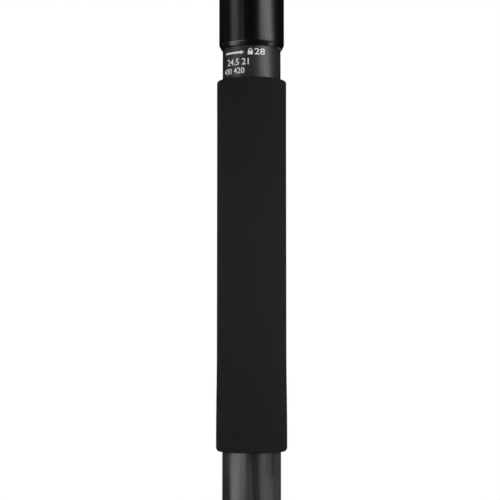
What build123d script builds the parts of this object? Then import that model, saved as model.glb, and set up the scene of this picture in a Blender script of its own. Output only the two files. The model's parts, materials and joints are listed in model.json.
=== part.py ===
from build123d import *
from dataclasses import dataclass
from math import acos, cos, degrees, radians, sin
import os

# A three-legged camera tripod with twist-lock legs, a lifting centre column and a ball head.
# One leg wears a foam grip and unscrews from its collar, to serve as a monopod.
# Millimetres, +Z up. The origin is on the floor, under the column's axis.
# Along a leg, a station is the distance down the leg's axis from its pivot.

# Stance
leg_angle = 25.0
pivot_radius = 45.0
leg_azimuths = {"a": 0.0, "b": 120.0, "c": 240.0}
grip_leg = "a"

# Leg tubes: three sections, each sliding in the one above
upper_tube_diameter = 28.0
middle_tube_diameter = 24.5
lower_tube_diameter = 21.0
tube_wall = 1.25
run_clearance = 0.08
slip_clearance = 0.15

# Leg casting: a fork that straddles the shoulder's tongue, and the socket under it
casting_width = 31.0
ear_radius = 13.0
bridge_top = 22.0
bridge_inner = 6.0
bridge_outer = 12.0
bridge_thickness = 10.0
slot_floor = 15.0
ear_base = 9.0
socket_start = 27.0
casting_reach = 36.0
ear_chamfer = 1.2
socket_wall = 2.4
plain_socket_length = 30.0
socket_lip_chamfer = 1.2

# Pivot bolts
bolt_radius = 4.0
bolt_head_radius = 6.6
bolt_head_height = 3.4
counterbore_radius = 7.2
counterbore_depth = 3.8
hex_key_across = 5.0
hex_key_depth = 2.0

# Angle-stop tab
tab_width = 12.0
tab_thickness = 5.0
tab_overhang = 2.2
tab_lip_thickness = 3.4
tab_lip_rise = 2.6
tab_seat_gap = 0.1

# Screw collar of the detachable leg
collar_diameter = 31.35
collar_length = 53.8
collar_spigot_radius = 12.6
collar_spigot_length = 11.0
collar_bevel_height = 2.2
collar_bevel_depth = 1.1
collar_bevel_bulge = 0.12
collar_top_chamfer = 0.8
thread_radius = 12.0
thread_length = 16.0
tube_in_collar = 13.0
washer_thickness = 1.0
plug_length = 22.0
head_socket_radius = 4.9
head_socket_depth = 12.0

# Foam grip
grip_gap = 15.25
grip_length = 177.55
grip_diameter = 33.3
grip_top_swell = 0.05
grip_foot_swell = 0.33
grip_foot_flare_length = 48.0
grip_foot_band = 8.0
grip_top_edge_radius = 1.2
grip_foot_edge_radius = 2.3
tube_below_grip = 167.4

# Twist locks: a sleeve, and the split collet that it squeezes
lock_length = 36.0
lock_wall = 3.0
lock_thread_length = 18.0
lock_lip = 4.0
lock_gap = 1.5
lock_edge_chamfer = 1.2
lock_band_margin = 6.5
lock_flute_count = 18
lock_flute_radius = 1.6
lock_flute_depth = 0.7
collet_taper = 0.9
collet_shoulder = 0.25
collet_slot = 2.0

# Guide shims on the hidden top ends of the sliding tubes
shim_length = 30.0
shim_slot = 3.0
shim_setback = 2.0
plug_rest_gap = 7.0
nested_tube_step = 6.0

# Rubber foot
foot_radius = 13.0
foot_length = 33.0
foot_socket_depth = 7.0
foot_neck_radius = 11.8
foot_neck_length = 6.0
foot_groove_depth = 0.9
foot_groove_width = 1.6

# Shoulder: the hub that carries the legs and guides the column
hub_flat = 29.0
hub_corner_radius = 42.0
hub_above_pivot = 20.0
hub_below_pivot = 12.0
hub_corner_fillet = 6.0
hub_edge_fillet = 2.0
tongue_width = 16.0
tongue_side_clearance = 0.3
tongue_radius = 11.0
tongue_top = 5.0
tongue_bottom = 9.0
neck_radius = 19.0
neck_height = 12.0
skirt_radius = 19.0
skirt_height = 9.0
skirt_chamfer = 1.5

# Centre column and its lock
column_diameter = 25.0
column_wall = 1.5
column_raised = 165.0
column_below_hub = 30.0
bushing_wall = 1.5
bushing_flange_radius = 17.0
bushing_flange = 2.0
bushing_slot = 3.0
ring_radius = 24.0
ring_height = 22.0
ring_seat_gap = 0.5
ring_flute_count = 20
ring_flute_radius = 2.2
ring_flute_depth = 0.9
ring_flute_margin = 4.0
ring_edge_chamfer = 1.4

# Column end cap and weight hook
cap_radius = 14.0
cap_thickness = 5.0
cap_plug_length = 20.0
cap_cavity_radius = 6.5
hook_wire_radius = 1.9
hook_bend_radius = 7.5
hook_neck_bend = 5.0
hook_turn = 200.0
hook_drop = 7.0
hook_button_radius = 5.0
hook_button_height = 2.0
hook_pull = 12.0

# Column top plate and the head's fixed base
plate_disc_radius = 24.0
plate_disc_height = 6.0
plate_plug_length = 20.0
head_stud_radius = 4.76
head_stud_length = 8.0
base_radius = 22.5
base_height = 9.0
base_chamfer = 1.0
pan_post_radius = 12.0
pan_post_height = 6.0
pan_gap = 0.3

# Ball housing
ball_radius = 17.0
ball_clearance = 0.15
housing_radius = 22.5
housing_rim_radius = 19.6
ball_above_base = 27.0
rim_above_ball = 7.0
rim_taper_height = 6.0
notch_clearance = 0.3
seat_radius = 15.4
seat_bore = 8.0
seat_depth = 17.0
seat_top = 9.0
boss_radius = 8.0
boss_reach = 26.0
knob_screw_radius = 3.0

# Head knobs
ball_knob_radius = 10.5
ball_knob_length = 20.0
ball_knob_azimuth = -90.0
ball_knob_drop = 5.0
pan_knob_radius = 7.5
pan_knob_length = 13.0
pan_knob_rise = 8.5
pan_knob_azimuth = 145.0
knob_gap = 0.4
knob_lobes = 8
knob_lobe_cut = 3.2
knob_lobe_depth = 1.1
knob_end_chamfer = 1.2
ball_screw_reach = 6.0
pan_screw_reach = 7.0

# Ball stem
stem_radius = 6.5
stem_top = 30.0
stem_flange_radius = 11.0
stem_flange_height = 3.0

# Quick-release clamp
clamp_length = 50.0
clamp_half_width = 26.0
clamp_floor = 8.0
clamp_split = 15.5
jaw_gap = 0.4
dovetail_half_width = 19.0
dovetail_straight = 1.3
dovetail_slope = 2.2
dovetail_gap = 0.1
jaw_underside = 0.8
clamp_corner = 2.0
clamp_recess_radius = 9.0
clamp_recess_depth = 1.5
guide_pin_radius = 2.0
guide_pin_spread = 34.0
guide_pin_hold = 3.6
clamp_screw_height = 5.0
clamp_screw_radius = 2.5
clamp_screw_reach = 12.0
clamp_knob_radius = 8.0
clamp_knob_length = 17.0
jaw_travel = 2.4

# Camera plate and its screw
camera_plate_length = 52.0
camera_plate_neck_rise = 1.0
camera_plate_top_half_width = 20.0
camera_plate_top_thickness = 5.5
camera_plate_corner = 3.0
pad_thickness = 1.0
pad_margin = 2.5
camera_screw_radius = 3.175
camera_screw_neck_radius = 2.4
camera_screw_stand = 5.5
camera_screw_head_radius = 7.0
camera_screw_head_height = 3.0
camera_screw_recess = 4.2
coin_slot_width = 1.8
coin_slot_depth = 1.6

# The jaw slides on its guide pins as far as the knob lets it
guide_pin_length = jaw_travel + guide_pin_hold

# Stations down the leg
collar_end = casting_reach + collar_length
tube_top_in_collar = collar_end - tube_in_collar
washer_top = tube_top_in_collar - washer_thickness
thread_top = washer_top - thread_length
plug_end = tube_top_in_collar + plug_length
grip_start = collar_end + grip_gap
grip_end = grip_start + grip_length
lock_1_start = grip_end + tube_below_grip
lock_1_end = lock_1_start + lock_length
lock_2_start = lock_1_end + lock_gap
lock_2_end = lock_2_start + lock_length
foot_start = lock_2_end + lock_gap
foot_end = foot_start + foot_length
foot_dome_station = foot_end - foot_radius
upper_tube_end = lock_1_start + lock_thread_length
middle_tube_start = plug_end + plug_rest_gap
middle_tube_end = lock_2_start + lock_thread_length
lower_tube_start = middle_tube_start + nested_tube_step
lower_tube_end = foot_start + foot_socket_depth

# Heights
pivot_height = foot_dome_station * cos(radians(leg_angle)) + foot_radius
hub_top = pivot_height + hub_above_pivot
hub_bottom = pivot_height - hub_below_pivot
skirt_bottom = hub_bottom - skirt_height
neck_top = hub_top + neck_height
ring_bottom = hub_top + ring_seat_gap
ring_top = ring_bottom + ring_height
column_top = ring_top + column_raised
column_bottom = skirt_bottom - column_below_hub
base_bottom = column_top + plate_disc_height
base_top = base_bottom + base_height
housing_bottom = base_top + pan_gap
ball_height = housing_bottom + ball_above_base
clamp_bottom = ball_height + stem_top
clamp_floor_height = clamp_bottom + clamp_floor
jaw_top = clamp_floor_height + dovetail_straight + dovetail_slope
camera_plate_bottom = clamp_floor_height + dovetail_gap
camera_platform_bottom = jaw_top + camera_plate_neck_rise
camera_plate_top = camera_platform_bottom + camera_plate_top_thickness
pad_top = camera_plate_top + pad_thickness

os.makedirs("parts", exist_ok=True)


def save(piece, name):
    """Labels a finished piece and writes its file."""
    piece.part.label = name
    export_step(piece.part, f"parts/{name}.step")


@dataclass
class Leg:
    """A leg's frame: its pivot, the way down its tubes, and the way out, square to them."""

    letter: str
    azimuth: float

    def __post_init__(self):
        angle, azimuth = radians(leg_angle), radians(self.azimuth)
        radial = Vector(cos(azimuth), sin(azimuth), 0)
        up = Vector(0, 0, 1)
        self.pivot = radial * pivot_radius + up * pivot_height
        self.down = radial * sin(angle) - up * cos(angle)
        self.out = radial * cos(angle) + up * sin(angle)
        self.side = Plane(origin=self.pivot, x_dir=self.out, z_dir=self.out.cross(self.down))
        self.axis = Axis(self.pivot, self.down)

    def across(self, station):
        """The plane square to the tubes at a station."""
        return Plane(origin=self.pivot + self.down * station, x_dir=self.out, z_dir=self.down)

    def name(self, piece):
        return f"leg_{self.letter}_{piece}"


def ring_outline(outer, inner, start, end):
    """A rectangle of (radius, station) corners, to be turned about an axis."""
    Polyline((inner, start), (outer, start), (outer, end), (inner, end), close=True)


def turn_ring(leg, outer, inner, start, end, mode=Mode.ADD):
    """Turns a plain ring about a leg's axis."""
    with BuildSketch(leg.side) as section:
        with BuildLine():
            ring_outline(outer, inner, start, end)
        make_face()
    revolve(section.sketch, axis=leg.axis, mode=mode)


upright = Plane.XZ


def turn_disc(outer, inner, low, high, mode=Mode.ADD):
    """Turns a plain ring about the column's axis."""
    with BuildSketch(upright) as section:
        with BuildLine():
            ring_outline(outer, inner, low, high)
        make_face()
    revolve(section.sketch, axis=Axis.Z, mode=mode)


# The shoulder: a rounded three-sided hub with a tongue for each leg, a neck for the lock ring
# and a short skirt below
def make_shoulder(legs):
    with BuildPart() as shoulder:
        with BuildSketch(Plane.XY.offset(hub_bottom)) as plan:
            RegularPolygon(hub_flat, 3, major_radius=False, rotation=180)
            Circle(hub_corner_radius, mode=Mode.INTERSECT)
            fillet(plan.vertices(), hub_corner_fillet)
        extrude(amount=hub_above_pivot + hub_below_pivot)
        rims = shoulder.edges().group_by(Axis.Z)
        fillet(rims[0] + rims[-1], hub_edge_fillet)
        turn_disc(neck_radius, 0, hub_top - hub_edge_fillet, neck_top)
        turn_disc(skirt_radius, 0, skirt_bottom, hub_bottom + hub_edge_fillet)
        chamfer(shoulder.faces().sort_by(Axis.Z)[0].edges(), skirt_chamfer)
        for leg in legs:
            tongue_plane = Plane(
                origin=leg.pivot, x_dir=leg.side.z_dir.cross(Vector(0, 0, 1)), z_dir=leg.side.z_dir
            )
            with BuildSketch(tongue_plane):
                Circle(tongue_radius)
                with Locations((-(pivot_radius - skirt_radius) / 2, (tongue_bottom - tongue_top) / 2)):
                    Rectangle(pivot_radius - skirt_radius, tongue_top + tongue_bottom)
            extrude(amount=tongue_width / 2, both=True)
            with BuildSketch(tongue_plane):
                Circle(bolt_radius)
            extrude(amount=tongue_width, both=True, mode=Mode.SUBTRACT)
        bore = column_diameter / 2 + bushing_wall
        turn_disc(bore, 0, skirt_bottom, neck_top, mode=Mode.SUBTRACT)
    return shoulder


# The column's guide: a split plastic sleeve with a flange that the lock ring presses down
def make_column_bushing():
    inner = column_diameter / 2 + run_clearance
    with BuildPart() as bushing:
        turn_disc(column_diameter / 2 + bushing_wall, inner, skirt_bottom, neck_top)
        turn_disc(bushing_flange_radius, inner, neck_top, neck_top + bushing_flange)
        with BuildSketch(Plane.XY.offset(skirt_bottom)):
            with Locations((bushing_flange_radius, 0)):
                Rectangle(2 * bushing_flange_radius, bushing_slot)
        extrude(amount=neck_top + bushing_flange - skirt_bottom, mode=Mode.SUBTRACT)
    return bushing


# The ring that clamps the column: it screws down over the neck, and its lip presses the guide
def make_column_lock_ring():
    cavity_top = neck_top + bushing_flange + run_clearance
    with BuildPart() as ring:
        turn_disc(ring_radius, column_diameter / 2 + ring_seat_gap, ring_bottom, ring_top)
        chamfer(ring.edges().filter_by(GeomType.CIRCLE).sort_by(SortBy.RADIUS)[-2:], ring_edge_chamfer)
        turn_disc(neck_radius + slip_clearance, 0, ring_bottom, cavity_top, mode=Mode.SUBTRACT)
        with BuildSketch(Plane.XY.offset(ring_bottom + ring_flute_margin)):
            with PolarLocations(ring_radius + ring_flute_radius - ring_flute_depth, ring_flute_count):
                Circle(ring_flute_radius)
        extrude(amount=ring_height - 2 * ring_flute_margin, mode=Mode.SUBTRACT)
    return ring


def bolt_plane(leg, offset):
    return Plane(origin=leg.pivot, x_dir=leg.out, z_dir=leg.side.z_dir).offset(offset)


# The pivot bolts: a shank through the tongue, with a head in each ear's counterbore, one of
# them the cap of the barrel nut
def make_pivot_bolts(legs):
    head_seat = casting_width / 2 - counterbore_depth
    head_face = head_seat + bolt_head_height
    with BuildPart() as bolts:
        for leg in legs:
            with BuildSketch(bolt_plane(leg, -head_seat)):
                Circle(bolt_radius)
            extrude(amount=2 * head_seat)
            for side in (-1, 1):
                with BuildSketch(bolt_plane(leg, side * head_seat)):
                    Circle(bolt_head_radius)
                extrude(amount=side * bolt_head_height)
                with BuildSketch(bolt_plane(leg, side * (head_face - hex_key_depth))):
                    RegularPolygon(hex_key_across / 2, 6, major_radius=False)
                extrude(amount=side * hex_key_depth, mode=Mode.SUBTRACT)
    return bolts


# The leg casting: two ears joined above the pivot by a bridge, running down into a round socket
def make_casting(leg, socket_length):
    socket_radius = upper_tube_diameter / 2 + socket_wall
    if leg.letter == grip_leg:
        socket_radius = collar_diameter / 2
    with BuildPart() as casting:
        with BuildSketch(leg.side):
            Circle(ear_radius)
            with BuildLine():
                Polyline(
                    (-bridge_inner, -bridge_top),
                    (bridge_outer - ear_chamfer, -bridge_top),
                    (bridge_outer, -bridge_top + ear_chamfer),
                    (ear_radius, 0),
                    (ear_radius, ear_base),
                    (-ear_radius, ear_base),
                    (-ear_radius, 0),
                    (-bridge_inner, -bridge_top + bridge_thickness),
                    close=True,
                )
            make_face()
        extrude(amount=casting_width / 2, both=True)
        cheeks = casting.faces().filter_by(leg.side)
        chamfer([edge for cheek in cheeks for edge in cheek.edges().sort_by(leg.axis)[:-1]], ear_chamfer)
        with BuildSketch(leg.across(ear_base)) as shoulders:
            Rectangle(2 * ear_radius, casting_width)
            chamfer(shoulders.vertices(), ear_chamfer)
        with BuildSketch(leg.across(socket_start)):
            Circle(socket_radius)
        loft()
        turn_ring(leg, socket_radius, 0, socket_start, casting_reach)
        if socket_length > 0:
            turn_ring(leg, socket_radius, 0, casting_reach, casting_reach + socket_length)
            chamfer(casting.faces().sort_by(leg.axis)[-1].edges(), socket_lip_chamfer)
            turn_ring(
                leg,
                upper_tube_diameter / 2,
                0,
                casting_reach,
                casting_reach + socket_length,
                mode=Mode.SUBTRACT,
            )
        else:
            turn_ring(leg, collar_spigot_radius, 0, casting_reach, casting_reach + collar_spigot_length)
        # the window that the shoulder's tongue stands in
        through = 4 * ear_radius
        window_top = bridge_thickness - bridge_top
        with BuildSketch(leg.side):
            with Locations((0, (window_top + slot_floor) / 2)):
                Rectangle(through, slot_floor - window_top)
        extrude(amount=tongue_width / 2 + tongue_side_clearance, both=True, mode=Mode.SUBTRACT)
        # the bolt's bore and its two counterbores
        with BuildSketch(bolt_plane(leg, 0)):
            Circle(bolt_radius + run_clearance)
        extrude(amount=casting_width, both=True, mode=Mode.SUBTRACT)
        for side in (-1, 1):
            with BuildSketch(bolt_plane(leg, side * (casting_width / 2 - counterbore_depth))):
                Circle(counterbore_radius)
            extrude(amount=side * counterbore_depth * 2, mode=Mode.SUBTRACT)
        # the stop tab's slot through the bridge
        with BuildSketch(leg.side):
            with Locations((0, -bridge_top + bridge_thickness / 2)):
                Rectangle(through, tab_thickness + 2 * slip_clearance)
        extrude(amount=tab_width / 2 + slip_clearance, both=True, mode=Mode.SUBTRACT)
    return casting


# The angle-stop tab: a plate through the bridge, whose inner end bears on the shoulder's flat
# and stops the leg; pulling its lip outwards lets the leg swing wider
def make_stop_tab(leg):
    angle = radians(leg_angle)
    middle = -bridge_top + bridge_thickness / 2
    low, high = middle + tab_thickness / 2, middle - tab_thickness / 2
    reach = hub_flat + tab_seat_gap - pivot_radius

    def flat_at(station):
        """How far out the shoulder's flat lies at a station of the resting leg."""
        return (reach - station * sin(angle)) / cos(angle)

    lip_start = bridge_outer + slip_clearance
    lip_end = lip_start + tab_overhang + tab_lip_thickness
    with BuildPart() as tab:
        with BuildSketch(leg.side):
            with BuildLine():
                Polyline(
                    (flat_at(high), high),
                    (lip_start + tab_overhang, high),
                    (lip_start + tab_overhang, high - tab_lip_rise),
                    (lip_end - ear_chamfer, high - tab_lip_rise),
                    (lip_end, high - tab_lip_rise + ear_chamfer),
                    (lip_end, low - ear_chamfer),
                    (lip_end - ear_chamfer, low),
                    (flat_at(low), low),
                    close=True,
                )
            make_face()
        extrude(amount=tab_width / 2, both=True)
    return tab


# The screw collar of the detachable leg: a turned sleeve fixed to the casting, threaded inside,
# with a rounded lower rim
def make_collar(leg):
    outer = collar_diameter / 2
    bore = thread_radius + run_clearance
    mouth = upper_tube_diameter / 2 + slip_clearance
    spigot_end = casting_reach + collar_spigot_length
    with BuildPart() as collar:
        with BuildSketch(leg.side):
            with BuildLine():
                Polyline(
                    (outer, collar_end - collar_bevel_height),
                    (outer, casting_reach + collar_top_chamfer),
                    (outer - collar_top_chamfer, casting_reach),
                    (collar_spigot_radius, casting_reach),
                    (collar_spigot_radius, spigot_end),
                    (bore, spigot_end),
                    (bore, washer_top),
                    (mouth, washer_top),
                    (mouth, collar_end),
                    (outer - collar_bevel_depth, collar_end),
                )
                SagittaArc(
                    (outer - collar_bevel_depth, collar_end),
                    (outer, collar_end - collar_bevel_height),
                    -collar_bevel_bulge,
                )
            make_face()
        revolve(axis=leg.axis)
    return collar


# The washer between the collar's step and the tube's end
def make_collar_washer(leg):
    with BuildPart() as washer:
        turn_ring(
            leg,
            upper_tube_diameter / 2,
            thread_radius + run_clearance,
            washer_top + run_clearance,
            tube_top_in_collar - run_clearance,
        )
    return washer


# The threaded plug in the top of the detachable leg, with a socket for a head's screw
def make_spigot(leg):
    with BuildPart() as spigot:
        with BuildSketch(leg.side):
            with BuildLine():
                Polyline(
                    (head_socket_radius, thread_top),
                    (thread_radius - collar_top_chamfer, thread_top),
                    (thread_radius, thread_top + collar_top_chamfer),
                    (thread_radius, tube_top_in_collar),
                    (upper_tube_diameter / 2 - tube_wall, tube_top_in_collar),
                    (upper_tube_diameter / 2 - tube_wall, plug_end),
                    (0, plug_end),
                    (0, thread_top + head_socket_depth),
                    (head_socket_radius, thread_top + head_socket_depth),
                    close=True,
                )
            make_face()
        revolve(axis=leg.axis)
    return spigot


def make_tube(leg, diameter, start, end):
    with BuildPart() as tube:
        turn_ring(leg, diameter / 2, diameter / 2 - tube_wall, start, end)
    return tube


# The foam grip: a soft sleeve with rounded ends, a little fuller at its lower end
def make_grip(leg):
    inner = upper_tube_diameter / 2
    middle = grip_diameter / 2
    top, foot = middle + grip_top_swell, middle + grip_foot_swell
    flare = grip_end - grip_foot_flare_length
    top_soft, foot_soft = grip_top_edge_radius, grip_foot_edge_radius
    with BuildPart() as grip:
        with BuildSketch(leg.side):
            with BuildLine():
                Line((inner, grip_end), (inner, grip_start))
                Line((inner, grip_start), (top - top_soft, grip_start))
                RadiusArc((top - top_soft, grip_start), (top, grip_start + top_soft), top_soft)
                Line((top, grip_start + top_soft), (middle, flare - grip_foot_flare_length))
                Line((middle, flare - grip_foot_flare_length), (middle, flare))
                Line((middle, flare), (foot, grip_end - grip_foot_band))
                Line((foot, grip_end - grip_foot_band), (foot, grip_end - foot_soft))
                RadiusArc((foot, grip_end - foot_soft), (foot - foot_soft, grip_end), foot_soft)
                Line((foot - foot_soft, grip_end), (inner, grip_end))
            make_face()
        revolve(axis=leg.axis)
    return grip


@dataclass
class Lock:
    """A twist lock's place: the tube that it screws on to, and the tube that it grips."""

    start: float
    outer_tube: float
    inner_tube: float

    def __post_init__(self):
        self.end = self.start + lock_length
        self.tube_end = self.start + lock_thread_length
        self.lip_start = self.end - lock_lip
        self.collet_top = self.outer_tube / 2 + collet_shoulder
        self.collet_foot = self.collet_top - collet_taper
        self.radius = self.outer_tube / 2 + lock_wall


# The twist sleeve: a barrel with a fluted grip band, tapered inside to squeeze its collet
def make_lock_sleeve(leg, lock):
    with BuildPart() as sleeve:
        with BuildSketch(leg.side):
            with BuildLine():
                Polyline(
                    (lock.outer_tube / 2 + run_clearance, lock.start),
                    (lock.radius - lock_edge_chamfer, lock.start),
                    (lock.radius, lock.start + lock_edge_chamfer),
                    (lock.radius, lock.end - 2 * lock_edge_chamfer),
                    (lock.radius - lock_edge_chamfer, lock.end),
                    (lock.inner_tube / 2 + slip_clearance, lock.end),
                    (lock.inner_tube / 2 + slip_clearance, lock.lip_start),
                    (lock.collet_foot + slip_clearance, lock.lip_start),
                    (lock.collet_top + slip_clearance, lock.tube_end - run_clearance),
                    (lock.outer_tube / 2 + run_clearance, lock.tube_end - run_clearance),
                    close=True,
                )
            make_face()
        revolve(axis=leg.axis)
        with BuildSketch(leg.across(lock.start + lock_band_margin)):
            with PolarLocations(lock.radius + lock_flute_radius - lock_flute_depth, lock_flute_count):
                Circle(lock_flute_radius)
        extrude(amount=lock_length - 2 * lock_band_margin, mode=Mode.SUBTRACT)
    return sleeve


# The split collet that the sleeve squeezes on to the sliding tube
def make_collet(leg, lock):
    inner = lock.inner_tube / 2 + run_clearance
    with BuildPart() as collet:
        with BuildSketch(leg.side):
            with BuildLine():
                Polyline(
                    (inner, lock.tube_end),
                    (lock.collet_top, lock.tube_end),
                    (lock.collet_foot, lock.lip_start - slip_clearance),
                    (inner, lock.lip_start - slip_clearance),
                    close=True,
                )
            make_face()
        revolve(axis=leg.axis)
        with BuildSketch(leg.across(lock.tube_end)):
            with Locations((lock.radius / 2, 0)):
                Rectangle(lock.radius, collet_slot)
        extrude(amount=lock_length, mode=Mode.SUBTRACT)
    return collet


# The split guide shim on the hidden top end of a sliding tube
def make_shim(leg, diameter, tube_start, bore):
    start = tube_start + shim_setback
    with BuildPart() as shim:
        turn_ring(leg, bore / 2 - run_clearance, diameter / 2, start, start + shim_length)
        with BuildSketch(leg.across(start)):
            with Locations((diameter / 2, 0)):
                Rectangle(diameter, shim_slot)
        extrude(amount=shim_length, mode=Mode.SUBTRACT)
    return shim


# The rubber foot: a neck over the tube's end, and a domed sole
def make_foot(leg):
    tube = lower_tube_diameter / 2
    neck_end = foot_start + foot_neck_length
    with BuildPart() as foot:
        with BuildSketch(leg.side):
            with BuildLine():
                Polyline(
                    (0, lower_tube_end),
                    (tube, lower_tube_end),
                    (tube, foot_start),
                    (foot_neck_radius, foot_start),
                    (foot_neck_radius, neck_end - foot_groove_width),
                    (foot_neck_radius - foot_groove_depth, neck_end - foot_groove_width),
                    (foot_neck_radius - foot_groove_depth, neck_end),
                    (foot_radius, neck_end + foot_groove_width),
                    (foot_radius, foot_dome_station),
                    (0, foot_dome_station),
                    close=True,
                )
            make_face()
        revolve(axis=leg.axis)
        with Locations(leg.across(foot_dome_station).location):
            Sphere(foot_radius)
    return foot


# The centre column: a plain tube
def make_column_tube():
    with BuildPart() as tube:
        outer = column_diameter / 2
        turn_disc(outer, outer - column_wall, column_bottom, column_top)
    return tube


# The plate on the column's top: a plug in the tube, a disc and the stud that holds the head
def make_column_plate():
    with BuildPart() as plate:
        turn_disc(plate_disc_radius, 0, column_top, base_bottom)
        chamfer(plate.edges().filter_by(GeomType.CIRCLE), base_chamfer)
        turn_disc(column_diameter / 2 - column_wall, 0, column_top - plate_plug_length, column_top)
        turn_disc(head_stud_radius, 0, base_bottom, base_bottom + head_stud_length)
    return plate


# The cap in the column's lower end, wide enough to stop the column at full height
def make_column_cap():
    with BuildPart() as cap:
        turn_disc(cap_radius, 0, column_bottom - cap_thickness, column_bottom)
        chamfer(cap.faces().sort_by(Axis.Z)[0].edges(), skirt_chamfer)
        plug_top = column_bottom + cap_plug_length
        turn_disc(column_diameter / 2 - column_wall, 0, column_bottom, plug_top)
        turn_disc(cap_cavity_radius, 0, column_bottom, plug_top, mode=Mode.SUBTRACT)
        turn_disc(
            hook_wire_radius + slip_clearance,
            0,
            column_bottom - cap_thickness,
            column_bottom,
            mode=Mode.SUBTRACT,
        )
    return cap


# The weight hook: a bent wire on a sprung stem, held in the cap by a button
def make_weight_hook():
    button_low = column_bottom + hook_pull + hook_button_height
    bend_top = column_bottom - cap_thickness - hook_drop
    lean = degrees(acos(hook_neck_bend / (hook_neck_bend + hook_bend_radius)))
    with BuildPart() as hook:
        with BuildLine(upright) as wire:
            stem = Line((0, button_low + hook_button_height / 2), (0, bend_top))
            neck = JernArc(stem @ 1, stem % 1, hook_neck_bend, -lean)
            JernArc(neck @ 1, neck % 1, hook_bend_radius, lean + hook_turn)
        with BuildSketch(Plane.XY.offset(button_low + hook_button_height / 2)):
            Circle(hook_wire_radius)
        sweep(path=wire.wires()[0])
        turn_disc(hook_button_radius, 0, button_low, button_low + hook_button_height)
    return hook


# The head's fixed base, screwed on the column plate, with the post that the housing pans on
def make_head_base():
    with BuildPart() as base:
        turn_disc(base_radius, 0, base_bottom, base_top)
        chamfer(base.edges().filter_by(GeomType.CIRCLE), base_chamfer)
        turn_disc(pan_post_radius, 0, base_top, base_top + pan_post_height)
        turn_disc(
            head_stud_radius + run_clearance,
            0,
            base_bottom,
            base_bottom + head_stud_length + pan_gap,
            mode=Mode.SUBTRACT,
        )
    return base


def knob_axis_plane(azimuth, height):
    """A plane on the head's axis, facing out along a knob."""
    out = Vector(cos(radians(azimuth)), sin(radians(azimuth)), 0)
    return Plane(origin=(0, 0, height), x_dir=Vector(0, 0, 1), z_dir=out)


ball_knob_plane = knob_axis_plane(ball_knob_azimuth, ball_height - ball_knob_drop)
pan_knob_plane = knob_axis_plane(pan_knob_azimuth, housing_bottom + pan_knob_rise)


# The ball housing: a turned body with a spherical bore, a drop notch that lets the stem lie
# level, and two bosses for the knobs' screws
def make_ball_housing():
    rim_height = ball_height + rim_above_ball
    bore = ball_radius + ball_clearance
    with BuildPart() as housing:
        with BuildSketch(upright):
            with BuildLine():
                Polyline(
                    (0, housing_bottom),
                    (housing_radius - base_chamfer, housing_bottom),
                    (housing_radius, housing_bottom + base_chamfer),
                    (housing_radius, rim_height - rim_taper_height),
                )
                RadiusArc(
                    (housing_radius, rim_height - rim_taper_height),
                    (housing_rim_radius, rim_height),
                    -2 * rim_taper_height,
                )
                Polyline((housing_rim_radius, rim_height), (0, rim_height), (0, housing_bottom))
            make_face()
        revolve(axis=Axis.Z)
        with BuildSketch(ball_knob_plane):
            Circle(boss_radius)
        extrude(amount=boss_reach)
        with BuildSketch(pan_knob_plane):
            Circle(pan_knob_radius - knob_end_chamfer)
        extrude(amount=boss_reach)
        turn_disc(
            seat_radius + run_clearance,
            0,
            ball_height - seat_depth,
            ball_height - seat_top,
            mode=Mode.SUBTRACT,
        )
        with Locations((0, 0, ball_height)):
            Sphere(bore, mode=Mode.SUBTRACT)
        turn_disc(
            pan_post_radius + slip_clearance,
            0,
            housing_bottom,
            housing_bottom + pan_post_height + slip_clearance,
            mode=Mode.SUBTRACT,
        )
        notch_radius = stem_radius + notch_clearance
        with BuildSketch(Plane.YZ):
            with Locations((0, ball_height)):
                Circle(notch_radius)
            with Locations((0, ball_height + rim_above_ball)):
                Rectangle(2 * notch_radius, 2 * rim_above_ball)
        extrude(amount=2 * housing_radius, mode=Mode.SUBTRACT)
        with BuildSketch(ball_knob_plane):
            Circle(knob_screw_radius + run_clearance)
        extrude(amount=boss_reach, mode=Mode.SUBTRACT)
        with BuildSketch(pan_knob_plane.offset(pan_post_radius)):
            Circle(knob_screw_radius + run_clearance)
        extrude(amount=boss_reach, mode=Mode.SUBTRACT)
    return housing


# The ball's seat: a plastic ring under the ball that the lock knob presses
def make_ball_seat():
    with BuildPart() as seat:
        turn_disc(seat_radius, seat_bore, ball_height - seat_depth, ball_height - seat_top)
        with Locations((0, 0, ball_height)):
            Sphere(ball_radius + run_clearance, mode=Mode.SUBTRACT)
    return seat


# A lobed knob with its screw, on a plane that faces out along it
def make_knob(plane, radius, length, start, screw_radius, screw_start):
    with BuildPart() as knob:
        with BuildSketch(plane.offset(start)):
            Circle(radius)
        extrude(amount=length)
        chamfer(knob.edges().filter_by(GeomType.CIRCLE), knob_end_chamfer)
        with BuildSketch(plane.offset(start)):
            with PolarLocations(radius + knob_lobe_cut - knob_lobe_depth, knob_lobes):
                Circle(knob_lobe_cut)
        extrude(amount=length, mode=Mode.SUBTRACT)
        with BuildSketch(plane.offset(screw_start)):
            Circle(screw_radius)
        extrude(amount=start - screw_start + knob_end_chamfer)
    return knob


# The ball and its stem, turned in one piece
def make_ball_stem():
    with BuildPart() as ball:
        with Locations((0, 0, ball_height)):
            Sphere(ball_radius)
        turn_disc(stem_radius, 0, ball_height, clamp_bottom)
        flange_low = clamp_bottom - stem_flange_height
        with BuildSketch(upright):
            with BuildLine():
                Polyline(
                    (0, flange_low - stem_flange_height),
                    (stem_radius, flange_low - stem_flange_height),
                    (stem_flange_radius, flange_low),
                    (stem_flange_radius, clamp_bottom),
                    (0, clamp_bottom),
                    close=True,
                )
            make_face()
        revolve(axis=Axis.Z)
    return ball


clamp_profile = Plane(origin=(0, 0, clamp_bottom), x_dir=(1, 0, 0), z_dir=(0, -1, 0))
clamp_side = Plane(
    origin=(0, 0, clamp_bottom + clamp_screw_height), x_dir=(0, 1, 0), z_dir=(1, 0, 0)
)


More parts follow.
